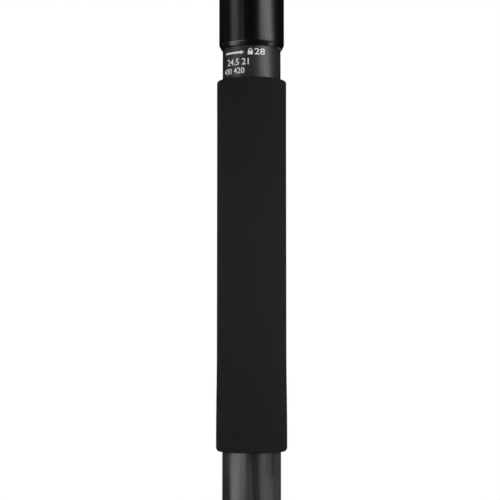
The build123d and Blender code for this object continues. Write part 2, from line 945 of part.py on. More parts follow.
# The clamp's base: the floor and the fixed jaw, with two guide pins for the moving jaw
def make_clamp_base():
    floor = clamp_floor
    edge = dovetail_half_width + dovetail_gap
    lip = floor + dovetail_straight + dovetail_slope
    with BuildPart() as base:
        with BuildSketch(clamp_profile):
            with BuildLine():
                Polyline(
                    (-clamp_half_width + clamp_corner, 0),
                    (clamp_split, 0),
                    (clamp_split, floor),
                    (-edge, floor),
                    (-edge, floor + dovetail_straight),
                    (-edge + dovetail_slope, lip),
                    (-clamp_half_width + clamp_corner, lip),
                    (-clamp_half_width, lip - clamp_corner),
                    (-clamp_half_width, clamp_corner),
                    close=True,
                )
            make_face()
        extrude(amount=clamp_length / 2, both=True)
        turn_disc(
            clamp_recess_radius,
            0,
            clamp_floor_height - clamp_recess_depth,
            clamp_floor_height,
            mode=Mode.SUBTRACT,
        )
        with BuildSketch(clamp_side.offset(clamp_split)):
            Circle(clamp_screw_radius + run_clearance)
        extrude(amount=-clamp_screw_reach - slip_clearance, mode=Mode.SUBTRACT)
        with BuildSketch(clamp_side.offset(clamp_split)):
            with GridLocations(guide_pin_spread, guide_pin_spread, 2, 1):
                Circle(guide_pin_radius)
        extrude(amount=guide_pin_length)
    return base


# The moving jaw, which slides out on the guide pins as its knob is unscrewed
def make_clamp_jaw():
    floor = clamp_floor
    edge = dovetail_half_width + dovetail_gap
    lip = floor + dovetail_straight + dovetail_slope
    start = clamp_split + jaw_gap
    with BuildPart() as jaw:
        with BuildSketch(clamp_profile):
            with BuildLine():
                Polyline(
                    (start, jaw_underside),
                    (clamp_half_width, jaw_underside),
                    (clamp_half_width, lip - clamp_corner),
                    (clamp_half_width - clamp_corner, lip),
                    (edge - dovetail_slope, lip),
                    (edge, floor + dovetail_straight),
                    (edge, floor),
                    (start, floor),
                    close=True,
                )
            make_face()
        extrude(amount=clamp_length / 2, both=True)
        with BuildSketch(clamp_side.offset(clamp_split)):
            Circle(clamp_screw_radius + run_clearance)
        extrude(amount=clamp_half_width, mode=Mode.SUBTRACT)
        with BuildSketch(clamp_side.offset(clamp_split)):
            with GridLocations(guide_pin_spread, guide_pin_spread, 2, 1):
                Circle(guide_pin_radius + run_clearance)
        extrude(amount=guide_pin_length + slip_clearance, mode=Mode.SUBTRACT)
    return jaw


# The camera plate: a dovetail rail under a wider platform, with a recess for its screw's head
def make_camera_plate():
    rail = dovetail_half_width
    neck = rail - dovetail_slope
    low = camera_plate_bottom
    top_half = camera_plate_top_half_width
    with BuildPart() as plate:
        with BuildSketch(upright):
            with BuildLine():
                Polyline(
                    (-rail, low),
                    (rail, low),
                    (rail, low + dovetail_straight),
                    (neck, low + dovetail_straight + dovetail_slope),
                    (neck, camera_platform_bottom),
                    (-neck, camera_platform_bottom),
                    (-neck, low + dovetail_straight + dovetail_slope),
                    (-rail, low + dovetail_straight),
                    close=True,
                )
            make_face()
        extrude(amount=camera_plate_length / 2, both=True)
        with BuildSketch(Plane.XY.offset(camera_platform_bottom)):
            RectangleRounded(2 * top_half, camera_plate_length, camera_plate_corner)
        extrude(amount=camera_plate_top_thickness)
        with BuildSketch(Plane.XY.offset(low)):
            Circle(camera_screw_head_radius + slip_clearance)
        extrude(amount=camera_screw_recess, mode=Mode.SUBTRACT)
        with BuildSketch(Plane.XY.offset(low)):
            Circle(camera_screw_radius + slip_clearance)
        extrude(amount=camera_plate_top - low, mode=Mode.SUBTRACT)
    return plate


# The rubber pad on the plate, which the camera stands on
def make_plate_pad():
    with BuildPart() as pad:
        with BuildSketch(Plane.XY.offset(camera_plate_top)):
            RectangleRounded(
                2 * (camera_plate_top_half_width - pad_margin),
                camera_plate_length - 2 * pad_margin,
                camera_plate_corner,
            )
            Circle(camera_screw_head_radius, mode=Mode.SUBTRACT)
        extrude(amount=pad_thickness)
    return pad


# The quarter-inch camera screw: a coin-slotted head, a thin neck and the screw itself
def make_camera_screw():
    head_top = camera_plate_bottom + camera_screw_recess - slip_clearance
    head_low = head_top - camera_screw_head_height
    with BuildPart() as screw:
        turn_disc(camera_screw_head_radius, 0, head_low, head_top)
        turn_disc(camera_screw_neck_radius, 0, head_top, pad_top)
        turn_disc(camera_screw_radius, 0, pad_top, pad_top + camera_screw_stand)
        chamfer(screw.faces().sort_by(Axis.Z)[-1].edges(), collar_top_chamfer)
        with BuildSketch(Plane.XY.offset(head_low)):
            Rectangle(3 * camera_screw_head_radius, coin_slot_width)
        extrude(amount=coin_slot_depth, mode=Mode.SUBTRACT)
    return screw


legs = [Leg(letter, azimuth) for letter, azimuth in leg_azimuths.items()]
locks = {
    1: Lock(lock_1_start, upper_tube_diameter, middle_tube_diameter),
    2: Lock(lock_2_start, middle_tube_diameter, lower_tube_diameter),
}

save(make_shoulder(legs), "shoulder")
save(make_column_bushing(), "column_bushing")
save(make_column_lock_ring(), "column_lock_ring")
save(make_pivot_bolts(legs), "pivot_bolts")

for leg in legs:
    detachable = leg.letter == grip_leg
    save(make_casting(leg, 0 if detachable else plain_socket_length), leg.name("casting"))
    save(make_stop_tab(leg), leg.name("stop_tab"))
    if detachable:
        save(make_collar(leg), leg.name("collar"))
        save(make_collar_washer(leg), leg.name("washer"))
        save(make_spigot(leg), leg.name("spigot"))
        save(make_grip(leg), leg.name("grip"))
    tube_top = tube_top_in_collar if detachable else casting_reach
    save(make_tube(leg, upper_tube_diameter, tube_top, upper_tube_end), leg.name("upper_tube"))
    save(make_tube(leg, middle_tube_diameter, middle_tube_start, middle_tube_end), leg.name("middle_tube"))
    save(make_tube(leg, lower_tube_diameter, lower_tube_start, lower_tube_end), leg.name("lower_tube"))
    for number, lock in locks.items():
        save(make_lock_sleeve(leg, lock), leg.name(f"lock_{number}"))
        save(make_collet(leg, lock), leg.name(f"collet_{number}"))
    upper_bore = upper_tube_diameter - 2 * tube_wall
    middle_bore = middle_tube_diameter - 2 * tube_wall
    save(make_shim(leg, middle_tube_diameter, middle_tube_start, upper_bore), leg.name("middle_shim"))
    save(make_shim(leg, lower_tube_diameter, lower_tube_start, middle_bore), leg.name("lower_shim"))
    save(make_foot(leg), leg.name("foot"))

save(make_column_tube(), "column_tube")
save(make_column_plate(), "column_plate")
save(make_column_cap(), "column_cap")
save(make_weight_hook(), "weight_hook")

save(make_head_base(), "head_base")
save(make_ball_housing(), "ball_housing")
save(make_ball_seat(), "ball_seat")
save(
    make_knob(
        ball_knob_plane,
        ball_knob_radius,
        ball_knob_length,
        boss_reach + knob_gap,
        knob_screw_radius,
        boss_reach - ball_screw_reach,
    ),
    "ball_lock_knob",
)
save(
    make_knob(
        pan_knob_plane,
        pan_knob_radius,
        pan_knob_length,
        boss_reach + knob_gap,
        knob_screw_radius,
        boss_reach - pan_screw_reach,
    ),
    "pan_lock_knob",
)
save(make_ball_stem(), "ball_stem")
save(make_clamp_base(), "clamp_base")
save(make_clamp_jaw(), "clamp_jaw")
save(
    make_knob(
        clamp_side,
        clamp_knob_radius,
        clamp_knob_length,
        clamp_half_width + knob_gap,
        clamp_screw_radius,
        clamp_split - clamp_screw_reach,
    ),
    "clamp_knob",
)
save(make_camera_plate(), "camera_plate")
save(make_plate_pad(), "plate_pad")
save(make_camera_screw(), "camera_screw")
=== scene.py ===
import json
import math

import bmesh
import bpy
from mathutils import Matrix, Vector


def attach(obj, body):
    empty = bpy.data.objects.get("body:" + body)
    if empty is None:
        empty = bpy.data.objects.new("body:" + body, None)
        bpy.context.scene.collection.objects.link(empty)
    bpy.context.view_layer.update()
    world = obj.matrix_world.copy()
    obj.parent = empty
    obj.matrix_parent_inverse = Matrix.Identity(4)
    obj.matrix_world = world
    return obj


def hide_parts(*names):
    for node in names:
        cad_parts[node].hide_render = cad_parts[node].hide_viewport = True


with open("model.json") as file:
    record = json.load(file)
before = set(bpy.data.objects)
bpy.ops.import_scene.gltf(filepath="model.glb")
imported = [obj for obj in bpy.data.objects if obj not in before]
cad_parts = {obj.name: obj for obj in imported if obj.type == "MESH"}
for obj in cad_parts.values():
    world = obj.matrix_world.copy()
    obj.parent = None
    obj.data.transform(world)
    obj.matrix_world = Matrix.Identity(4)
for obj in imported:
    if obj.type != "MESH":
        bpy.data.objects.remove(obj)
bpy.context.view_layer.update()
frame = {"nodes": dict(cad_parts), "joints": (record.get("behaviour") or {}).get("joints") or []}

nodes = frame["nodes"]
joints = {joint["name"]: joint for joint in frame["joints"]}
scene = bpy.context.scene
mm = 0.001

# The shoulder is a pressure-cast light alloy hub with a tongue for each leg, sprayed with a fine
# wrinkled black powder coat. The column runs in a split plastic guide pushed into its bore.


class Finish:
    """A procedural material: plain values on its shader, and texture nodes for what varies.

    Its textures lie along the axes of a place, so that grain can run along a tube.
    """

    def __init__(self, name, colour, roughness, metallic=0.0, place=None, **plain):
        self.material = bpy.data.materials.new(name)
        self.material.use_nodes = True
        self.tree = self.material.node_tree
        self.shader = self.tree.nodes["Principled BSDF"]
        self.colour = colour
        self.shader.inputs["Base Color"].default_value = (*colour, 1)
        self.shader.inputs["Roughness"].default_value = roughness
        self.shader.inputs["Metallic"].default_value = metallic
        for socket, value in plain.items():
            self.shader.inputs[socket.replace("_", " ")].default_value = value
        self.where = self.add("ShaderNodeTexCoord").outputs["Object"]
        if place:
            turned_back = place.to_3x3().inverted()
            moved_back = -(turned_back @ place.translation)
            self.where = self.add(
                "ShaderNodeMapping",
                {"Vector": self.where, "Rotation": turned_back.to_euler(), "Location": moved_back},
            ).outputs[0]

    def add(self, kind, inputs=(), **settings):
        """Adds a node, each of its inputs a plain value or another node's output."""
        node = self.tree.nodes.new(kind)
        for key, value in settings.items():
            setattr(node, key, value)
        for socket, value in dict(inputs).items():
            target = node.inputs[socket]
            if isinstance(value, bpy.types.NodeSocket):
                self.tree.links.new(value, target)
            else:
                target.default_value = value
        return node

    def combine(self, operation, *values):
        return self.add("ShaderNodeMath", enumerate(values), operation=operation).outputs[0]

    def noise(self, scale, detail=3.0, stretch=(1, 1, 1), roughness=0.55):
        """Noise with features of 1/scale metres, drawn out where a stretch is under 1."""
        where = self.add("ShaderNodeMapping", {"Vector": self.where, "Scale": stretch}).outputs[0]
        inputs = {"Vector": where, "Scale": scale, "Detail": detail, "Roughness": roughness}
        return self.add("ShaderNodeTexNoise", inputs).outputs["Fac"]

    def spread(self, value, low, high, start=0.3, end=0.7):
        """A value, such as noise, that runs from start to end, mapped to run from low to high."""
        inputs = {"Value": value, "From Min": start, "From Max": end, "To Min": low, "To Max": high}
        return self.add("ShaderNodeMapRange", inputs).outputs["Result"]

    def tone(self, share, colour=None):
        """Makes the base colour, or another one, darker or lighter by a share that varies."""
        inputs = {0: colour or self.colour, "Scale": share}
        shade = self.add("ShaderNodeVectorMath", inputs, operation="SCALE")
        self.tree.links.new(shade.outputs[0], self.shader.inputs["Base Color"])

    def mottle(self, value, dark, light):
        self.tone(self.spread(value, dark, light))

    def polish(self, value, low, high):
        self.tree.links.new(self.spread(value, low, high), self.shader.inputs["Roughness"])

    def relief(self, height, depth, strength=1.0, edge=0.0):
        """A bump of a real depth, in metres, and edges that look as round as a radius."""
        inputs = {"Height": height, "Distance": depth, "Strength": strength}
        if edge:
            inputs["Normal"] = self.add("ShaderNodeBevel", {"Radius": edge}, samples=4).outputs[0]
        bump = self.add("ShaderNodeBump", inputs)
        self.tree.links.new(bump.outputs[0], self.shader.inputs["Normal"])

    def edges(self, radius):
        """Where the surface turns a corner of about a radius: 0 on the flat, towards 1 on an edge."""
        soft = self.add("ShaderNodeBevel", {"Radius": radius}, samples=4).outputs[0]
        flat = self.add("ShaderNodeNewGeometry").outputs["Normal"]
        facing = self.add("ShaderNodeVectorMath", {0: soft, 1: flat}, operation="DOT_PRODUCT")
        return self.spread(facing.outputs["Value"], 1, 0, 0.8, 0.99)


def dress(finish, *names):
    """Gives CAD nodes their finish."""
    for name in names:
        nodes[name].data.materials.clear()
        nodes[name].data.materials.append(finish.material)


powder_coat = Finish("powder_coat", (0.026, 0.026, 0.027), 0.5, Specular_IOR_Level=0.4)
wrinkle = powder_coat.noise(1400, 4)
rubbed = powder_coat.combine("MULTIPLY", powder_coat.edges(0.5 * mm), powder_coat.noise(90, 4))
powder_coat.tone(powder_coat.combine("ADD", powder_coat.spread(wrinkle, 0.7, 1.3), rubbed))
powder_coat.polish(powder_coat.noise(500, 2), 0.42, 0.56)
powder_coat.relief(wrinkle, 0.08 * mm, 0.8, 0.4 * mm)

guide_plastic = Finish("guide_plastic", (0.045, 0.045, 0.047), 0.45)
guide_plastic.mottle(guide_plastic.noise(260, 3), 0.85, 1.15)
guide_plastic.relief(guide_plastic.noise(900, 3), 0.03 * mm, 0.6, 0.2 * mm)

dress(powder_coat, "shoulder")
dress(guide_plastic, "column_bushing")

# Each leg hangs on a steel pivot bolt and its barrel nut, turned from bar with a hexagon socket,
# zinc plated, and seated in a counterbore in each ear of the leg's casting.
bright_steel = Finish("bright_steel", (0.5, 0.49, 0.47), 0.3, 1.0)
bright_steel.mottle(bright_steel.noise(90, 4), 0.92, 1.05)
bright_steel.polish(bright_steel.noise(300, 3), 0.29, 0.34)
bright_steel.relief(bright_steel.noise(600, 2), 0.003 * mm, 0.5)
dress(bright_steel, "pivot_bolts")

# Each leg's fork is cast in alloy and powder coated like the shoulder. The nicks that the solid has
# where its ears' bevels end above the socket are filled here. Through the fork's bridge runs an
# angle-stop tab, punched and anodised grey, which a spring holds against the hub.
leg_letters = "abc"
ear_half, ear_side, ear_base, ear_bevel = 15.5 * mm, 9 * mm, 9 * mm, 1.2 * mm
hair = 0.01 * mm


def leg_place(letter):
    """A leg's frame: its origin at the pivot, +Z down the tubes, and +X out, square to them."""
    pivot = Vector(joints[f"leg_{letter}_fold"]["pos_m"])
    down = Vector(joints[f"leg_{letter}_middle_slide"]["axis"])
    out = Vector(joints[f"leg_{letter}_stop_pull"]["axis"])
    return Matrix.Translation(pivot) @ Matrix((out, down.cross(out), down)).transposed().to_4x4()


place = {letter: leg_place(letter) for letter in leg_letters}


def without_nicks(node, where):
    """A copy of a casting's mesh, its cheeks and their bevels run down to the ears' base."""
    rough = nodes[node].data
    back = where.inverted()
    points = []
    in_nick = []
    for vertex in rough.vertices:
        point = back @ vertex.co
        near = abs(point.y) > ear_half - ear_bevel - hair and abs(point.x) > ear_side
        low = near and ear_base - ear_bevel - hair < point.z < ear_base
        if low:
            point.z = ear_base
        points.append(where @ point if low else vertex.co.copy())
        in_nick.append(near and abs(point.z - ear_base) < hair)
    kept = [face for face in rough.polygons if not all(in_nick[i] for i in face.vertices)]
    normals = [rough.corner_normals[i].vector for face in kept for i in face.loop_indices]
    mesh = bpy.data.meshes.new(f"{node}_dressed")
    mesh.from_pydata(points, [], [tuple(face.vertices) for face in kept], shade_flat=False)
    mesh.normals_split_custom_set(normals)
    return mesh


tab_grey = Finish("tab_grey", (0.22, 0.22, 0.225), 0.36, 0.9)
tab_grey.mottle(tab_grey.noise(600, 3), 0.85, 1.1)
tab_grey.polish(tab_grey.noise(900, 3, (1, 1, 6)), 0.28, 0.42)
tab_grey.relief(tab_grey.noise(1200, 2, (1, 1, 8)), 0.01 * mm, 0.5, 0.25 * mm)
for letter in leg_letters:
    casting = bpy.data.objects.new(
        f"leg_{letter}_casting_dressed", without_nicks(f"leg_{letter}_casting", place[letter])
    )
    scene.collection.objects.link(casting)
    casting.data.materials.append(powder_coat.material)
    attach(casting, f"leg_{letter}")
    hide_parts(f"leg_{letter}_casting")
    dress(tab_grey, f"leg_{letter}_stop_tab")

# The screw collar of the photographed leg is turned from alloy bar, with a soft lower rim, and
# anodised a glossy black. It is pressed on the casting's spigot and threaded inside.


def extent(node, where):
    """A node's first and last station along a place's Z axis, and its outer radius round it."""
    back = where.inverted()
    points = [back @ vertex.co for vertex in nodes[node].data.vertices]
    heights = [point.z for point in points]
    return min(heights), max(heights), max(point.xy.length for point in points)


def rounded(corner, arriving, leaving, radius, steps=6):
    """Points of a rounded corner of an outline, between the unit directions of its two sides."""
    corner = Vector(corner)
    start = corner - Vector(arriving) * radius
    end = corner + Vector(leaving) * radius
    points = []
    for i in range(steps + 1):
        share = i / steps
        points.append(tuple(start.lerp(corner, share).lerp(corner.lerp(end, share), share)))
    return points


def in_steps(outline, step):
    """The outline with points added, so that none of its runs is longer than a step."""
    points = [outline[0]]
    for last, point in zip(outline, outline[1:]):
        count = max(1, math.ceil((Vector(point) - Vector(last)).length / step))
        points += [tuple(Vector(last).lerp(Vector(point), (i + 1) / count)) for i in range(count)]
    return points


def lathe(outline, facets=192, cut=None):
    """Turns (radius, station) points round Z; cut(angle, radius, station) may change a radius."""
    work = bmesh.new()
    rings = []
    for radius, station in outline:
        if radius == 0:
            rings.append([work.verts.new((0, 0, station))] * facets)
            continue
        ring = []
        for k in range(facets):
            angle = math.tau * k / facets
            reach = cut(angle, radius, station) if cut else radius
            ring.append(work.verts.new((reach * math.cos(angle), reach * math.sin(angle), station)))
        rings.append(ring)
    closes = outline[0][0] > 0 and outline[-1][0] > 0
    for i in range(len(rings) if closes else len(rings) - 1):
        one, two = rings[i], rings[(i + 1) % len(rings)]
        for k in range(facets):
            n = (k + 1) % facets
            work.faces.new(list(dict.fromkeys([one[k], one[n], two[n], two[k]])))
    return work


def finish_mesh(name, work, where, body, finish, crease=35):
    """Makes a piece of a bmesh, smooth apart from its sharp edges, and lets it ride on a body."""
    bmesh.ops.recalc_face_normals(work, faces=work.faces)
    bmesh.ops.transform(work, matrix=where, verts=work.verts)
    for face in work.faces:
        face.smooth = True
    for edge in work.edges:
        edge.smooth = edge.is_manifold and edge.calc_face_angle(0) < math.radians(crease)
    mesh = bpy.data.meshes.new(name)
    work.to_mesh(mesh)
    work.free()
    mesh.materials.append(finish.material)
    piece = bpy.data.objects.new(name, mesh)
    scene.collection.objects.link(piece)
    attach(piece, body)
    return piece


gloss_black = Finish("gloss_black", (0.0022, 0.0022, 0.0023), 0.26, place=place["a"])
gloss_black.polish(gloss_black.noise(500, 3, (1, 1, 12)), 0.25, 0.27)
gloss_black.relief(gloss_black.noise(900, 2, (1, 1, 20)), 0.001 * mm, 0.4)

collar_start, collar_end, collar_radius = extent("leg_a_collar", place["a"])
thread_radius = extent("leg_a_spigot", place["a"])[2]
washer_start = extent("leg_a_washer", place["a"])[0]
tube_radius = extent("leg_a_upper_tube", place["a"])[2]
collar_seat = 12.62 * mm
collar_seat_depth = 11.1 * mm
collar_mouth = tube_radius + 0.16 * mm
collar_bore = thread_radius + 0.09 * mm
bevel_height, bevel_depth = 2.3 * mm, 1.1 * mm
rim_soft, bevel_soft, mouth_soft = 0.9 * mm, 0.4 * mm, 0.25 * mm
slope = Vector((-bevel_depth, bevel_height)).normalized()
collar_outline = [
    (collar_seat, collar_start),
    *rounded((collar_radius, collar_start), (1, 0), (0, 1), rim_soft),
    *rounded((collar_radius, collar_end - bevel_height), (0, 1), slope, bevel_soft),
    *rounded((collar_radius - bevel_depth, collar_end), slope, (-1, 0), mouth_soft),
    (collar_mouth, collar_end),
    (collar_mouth, washer_start),
    (collar_bore, washer_start),
    (collar_bore, collar_start + collar_seat_depth),
    (collar_seat, collar_start + collar_seat_depth),
]
collar = finish_mesh("collar_turned", lathe(collar_outline), place["a"], "leg_a", gloss_black)
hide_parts("leg_a_collar")

# A white plastic washer lies between the collar's step and the leg's end. The spigot is turned
# from alloy, with a coarse rounded thread, and glued into the top of the tube.
washer_white = Finish("washer_white", (0.62, 0.62, 0.6), 0.5)
washer_white.mottle(washer_white.noise(300, 2), 0.94, 1.03)
washer_white.relief(washer_white.noise(900, 2), 0.02 * mm, 0.5)
dress(washer_white, "leg_a_washer")


def thread_cut(pitch, depth, outer, start, end):
    """Cuts a rounded screw thread into the outer radius, fading out at both of its ends."""

    def cut(angle, radius, station):
        if radius < outer - hair or not start <= station <= end:
            return radius
        share = min(1, (station - start) / pitch, (end - station) / pitch)
        phase = (station / pitch - angle / math.tau) % 1
        return radius - depth * share * (0.5 - 0.5 * math.cos(math.tau * phase))

    return cut


spigot_start, spigot_end, _ = extent("leg_a_spigot", place["a"])
upper_start, upper_end, _ = extent("leg_a_upper_tube", place["a"])
tube_wall = 1.25 * mm
tube_bore = tube_radius - tube_wall
head_socket = 4.9 * mm
head_socket_depth = 12 * mm
spigot_pitch, spigot_depth, spigot_edge = 3 * mm, 0.9 * mm, 0.8 * mm
spigot_outline = in_steps(
    [
        (head_socket, spigot_start + head_socket_depth),
        (head_socket, spigot_start),
        *rounded((thread_radius, spigot_start), (1, 0), (0, 1), spigot_edge),
        (thread_radius, upper_start),
        (tube_bore, upper_start),
        (tube_bore, spigot_end),
    ],
    spigot_pitch / 10,
)
spigot_outline = [(0, spigot_start + head_socket_depth), *spigot_outline, (0, spigot_end)]
spigot_run = spigot_start + spigot_depth
spigot_thread = thread_cut(spigot_pitch, spigot_depth, thread_radius, spigot_run, upper_start)
spigot_work = lathe(spigot_outline, facets=96, cut=spigot_thread)
spigot = finish_mesh("threaded_spigot", spigot_work, place["a"], "leg_a_upper", tab_grey)
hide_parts("leg_a_spigot")

# The leg tubes are roll-wrapped carbon fibre, ground and clear lacquered, so that the bundles of
# fibre show as long darker and lighter streaks under the gloss.
band_fade = 60 * mm


def lacquered_tube(name, where, tone, plain_to=0.0):
    """Carbon under lacquer; down to a station, a tinted band hides the fibre under the print."""
    warm, cool = (tone, tone * 0.945, tone * 0.885), (tone * 0.88, tone * 0.965, tone * 0.97)
    tube = Finish(name, warm, 0.36, place=where, Coat_Weight=0.12)
    tube.shader.inputs["Coat Roughness"].default_value = 0.16
    bundles = tube.noise(150, 2, (1, 1, 0.08), 0.45)
    strands = tube.noise(430, 4, (1, 1, 0.05), 0.6)
    patches = tube.noise(66, 2, (1, 1, 0.3))
    streaks = tube.spread(tube.combine("MULTIPLY", bundles, strands), -0.3, 0.45, 0.15, 0.36)
    for scale, stretch, low, high in ((250, 0.16, 0.36, 0.9), (560, 0.14, 0.25, 0.59)):
        drawn_out = {"Vector": tube.where, "Scale": (1, 1, stretch)}
        where_long = tube.add("ShaderNodeMapping", drawn_out).outputs[0]
        cells = {"Vector": where_long, "Scale": scale, "Smoothness": 0.1}
        wedges = tube.add("ShaderNodeTexVoronoi", cells, feature="SMOOTH_F1").outputs["Color"]
        streaks = tube.combine("ADD", streaks, tube.spread(wedges, low, high, 0.22, 0.78))
    if plain_to:
        station = tube.add("ShaderNodeSeparateXYZ", {0: tube.where}).outputs["Z"]
        bare = tube.spread(station, 0, 1, plain_to, plain_to + band_fade)
        streaks = tube.add("ShaderNodeMix", {0: bare, 2: 0.6, 3: streaks}).outputs[0]
    shades = {0: tube.spread(patches, 0, 1), 6: (*warm, 1), 7: (*cool, 1)}
    tube.tone(streaks, tube.add("ShaderNodeMix", shades, data_type="RGBA").outputs[2])
    tube.polish(bundles, 0.3, 0.42)
    tube.relief(strands, 0.006 * mm, 0.6)
    return tube


for letter in leg_letters:
    carbon = lacquered_tube(f"carbon_{letter}", place[letter], 0.046)
    for section in ("upper", "middle", "lower"):
        dress(carbon, f"leg_{letter}_{section}_tube")

grip_start, grip_end, _ = extent("leg_a_grip", place["a"])
banded_carbon = lacquered_tube("banded_carbon", place["a"], 0.046, grip_start)
end_rounding = 0.25 * mm
upper_outline = [
    (tube_bore, upper_start),
    *rounded((tube_radius, upper_start), (1, 0), (0, 1), end_rounding, 3),
    (tube_radius, grip_start),
    (tube_radius, grip_end),
    *rounded((tube_radius, upper_end), (0, 1), (-1, 0), end_rounding, 3),
    (tube_bore, upper_end),
]
upper_work = lathe(upper_outline)
upper_tube = finish_mesh("upper_tube_wound", upper_work, place["a"], "leg_a_upper", banded_carbon)
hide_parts("leg_a_upper_tube")

# The bare stretch of that tube under the collar is pad-printed in white: an arrow for the turn
# that locks the leg, a padlock, and the sections' diameters and lengths in plain numbers.
print_white = Finish("print_white", (0.95, 0.95, 0.95), 0.45)
print_white.mottle(print_white.noise(2500, 3), 0.9, 1.02)
print_white.relief(print_white.noise(3000, 2), 0.01 * mm, 0.4)
print_rise, print_step = 0.03 * mm, 0.6 * mm
camera_turn = math.radians(-18)


def flat_shape(corners):
    """A flat face with its corners given in metres."""
    flat = bpy.data.meshes.new("flat_shape")
    flat.from_pydata([(x, y, 0) for x, y in corners], [], [range(len(corners))])
    return flat


def flat_box(left, right, low, top):
    """A flat rectangle between its four sides."""
    return flat_shape([(left, low), (right, low), (right, top), (left, top)])


def flat_figures(text, height, right, baseline, width=None):
    """Figures as a flat mesh of a height, ending at the right on a baseline."""
    curve = bpy.data.curves.new("figures", "FONT")
    curve.body = text
    curve.offset = 0.012
    holder = bpy.data.objects.new("figures", curve)
    scene.collection.objects.link(holder)
    found = holder.evaluated_get(bpy.context.evaluated_depsgraph_get())
    flat = bpy.data.meshes.new_from_object(found)
    bpy.data.objects.remove(holder)
    xs = [vertex.co.x for vertex in flat.vertices]
    ys = [vertex.co.y for vertex in flat.vertices]
    up = height / (max(ys) - min(ys))
    across = width / (max(xs) - min(xs)) if width else up
    for vertex in flat.vertices:
        vertex.co.x = right + (vertex.co.x - max(xs)) * across
        vertex.co.y = baseline + (vertex.co.y - min(ys)) * up
    return flat


def printed(name, flats, where, radius, middle, body):
    """Prints flat meshes on a cylinder: x runs round it from the middle angle, and y up -Z."""
    work = bmesh.new()
    for flat in flats:
        work.from_mesh(flat)
    for _ in range(3):
        bmesh.ops.triangulate(work, faces=work.faces)
        long_edges = [edge for edge in work.edges if edge.calc_length() > print_step]
        bmesh.ops.subdivide_edges(work, edges=long_edges, cuts=1)
    bmesh.ops.triangulate(work, faces=work.faces)
    for vertex in work.verts:
        angle = middle - vertex.co.x / radius
        reach = radius + print_rise
        vertex.co = (reach * math.cos(angle), reach * math.sin(angle), -vertex.co.y)
    return finish_mesh(name, work, where, body, print_white)


def round_leg(degrees):
    """How far round the tube a point lies that is turned from the side that faces the camera."""
    return tube_radius * math.radians(degrees)


arrow_line, first_line = -(collar_end + 3.2 * mm), -(collar_end + 4.4 * mm)
second_line, third_line = -(collar_end + 9.2 * mm), -(collar_end + 13.3 * mm)
arrow_tail, arrow_tip = round_leg(-60.6), round_leg(-14.9)
arrow_half, head_half, head_long = 0.46 * mm, 0.95 * mm, 1.7 * mm
arrow = [
    (
        arrow_tail + arrow_half - arrow_half * math.sin(math.pi * i / 8),
        arrow_line - arrow_half * math.cos(math.pi * i / 8),
    )
    for i in range(9)
]
arrow += [
    (arrow_tip - head_long, arrow_line + arrow_half),
    (arrow_tip - head_long, arrow_line + head_half),
    (arrow_tip, arrow_line),
    (arrow_tip - head_long, arrow_line - head_half),
    (arrow_tip - head_long, arrow_line - arrow_half),
]
lock_left, lock_wide, lock_tall = round_leg(-7.5), 2.4 * mm, 1.8 * mm
lock_right, lock_top = lock_left + lock_wide, first_line + lock_tall
lock_body = flat_box(lock_left, lock_right, first_line, lock_top)
shackle_middle, shackle_line = (lock_left + lock_right) / 2, lock_top + 0.3 * mm
shackle_sides = []
for reach in (0.95 * mm, 0.58 * mm):
    bow = [(reach * math.cos(math.pi * i / 12), reach * math.sin(math.pi * i / 12)) for i in range(13)]
    side = [(shackle_middle + across, shackle_line + up) for across, up in bow]
    shackle_sides.append([(side[0][0], lock_top), *side, (side[-1][0], lock_top)])
shackle = shackle_sides[0] + shackle_sides[1][::-1]
tube_nodes = [f"leg_a_{section}_tube" for section in ("upper", "middle", "lower")]
tube_extents = [extent(node, place["a"]) for node in tube_nodes]
diameters = [f"{round(2 * radius / mm, 1):g}" for _, _, radius in tube_extents]
lengths = [f"{(end - start) / mm:.0f}" for start, end, _ in tube_extents]
first_left, first_right = round_leg(5.5), round_leg(27)
first_size = flat_figures(diameters[0], 3 * mm, first_right, first_line, first_right - first_left)
size_line = flat_figures(" ".join(diameters[1:]), 3.1 * mm, round_leg(-5.7), second_line)
length_line = flat_figures(" ".join(lengths[1:]), 2.8 * mm, round_leg(-14.1), third_line)
facing = math.pi / 2 - camera_turn
leg_print = [flat_shape(arrow), lock_body, flat_shape(shackle), first_size, size_line, length_line]
printed("leg_print", leg_print, place["a"], tube_radius, facing, "leg_a_upper")

# The grip is a sleeve of fine closed-cell foam, slid on to the tube and glued: matt, with rounded
# ends, and a little fuller over its lowest part.
foam = Finish("grip_foam", (0.0166, 0.0166, 0.0167), 0.92, place=place["a"], Specular_IOR_Level=0.06)
along_grip = foam.add("ShaderNodeSeparateXYZ", {0: foam.where}).outputs["Z"]
grip_centre, grip_half = (grip_start + grip_end) / 2, (grip_end - grip_start) / 2
from_middle = foam.combine("ABSOLUTE", foam.combine("SUBTRACT", along_grip, grip_centre))
# The foam is made lighter towards the middle of the grip, fading to its plain tone near both ends.
lighter_middle = foam.spread(from_middle, 0.26, 0, 0.2 * grip_half, 0.9 * grip_half)
foam.tone(foam.combine("ADD", foam.spread(foam.noise(420, 4), 0.94, 1.06), lighter_middle))
foam.relief(foam.noise(2600, 3), 0.06 * mm, 0.7)
grip_middle, grip_top, grip_foot = 16.65 * mm, 16.7 * mm, 16.98 * mm
grip_top_soft, grip_foot_soft = 1.2 * mm, 2.3 * mm
grip_waist, grip_flare, grip_band = 30 * mm, 48 * mm, 8 * mm
grip_long, grip_bore = grip_end - grip_start, tube_radius + 0.02 * mm
grip_radii = [
    (0, grip_top),
    (grip_waist, grip_middle),
    (grip_long - grip_flare, grip_middle),
    (grip_long - grip_band, grip_foot),
    (grip_long, grip_foot),
]


def grip_radius(depth):
    """The sleeve's radius at a depth from its top, without its rounded ends."""
    for (start, first), (end, last) in zip(grip_radii, grip_radii[1:]):
        if depth <= end:
            share = (depth - start) / (end - start)
            return first + (last - first) * share * share * (3 - 2 * share)
    return grip_foot


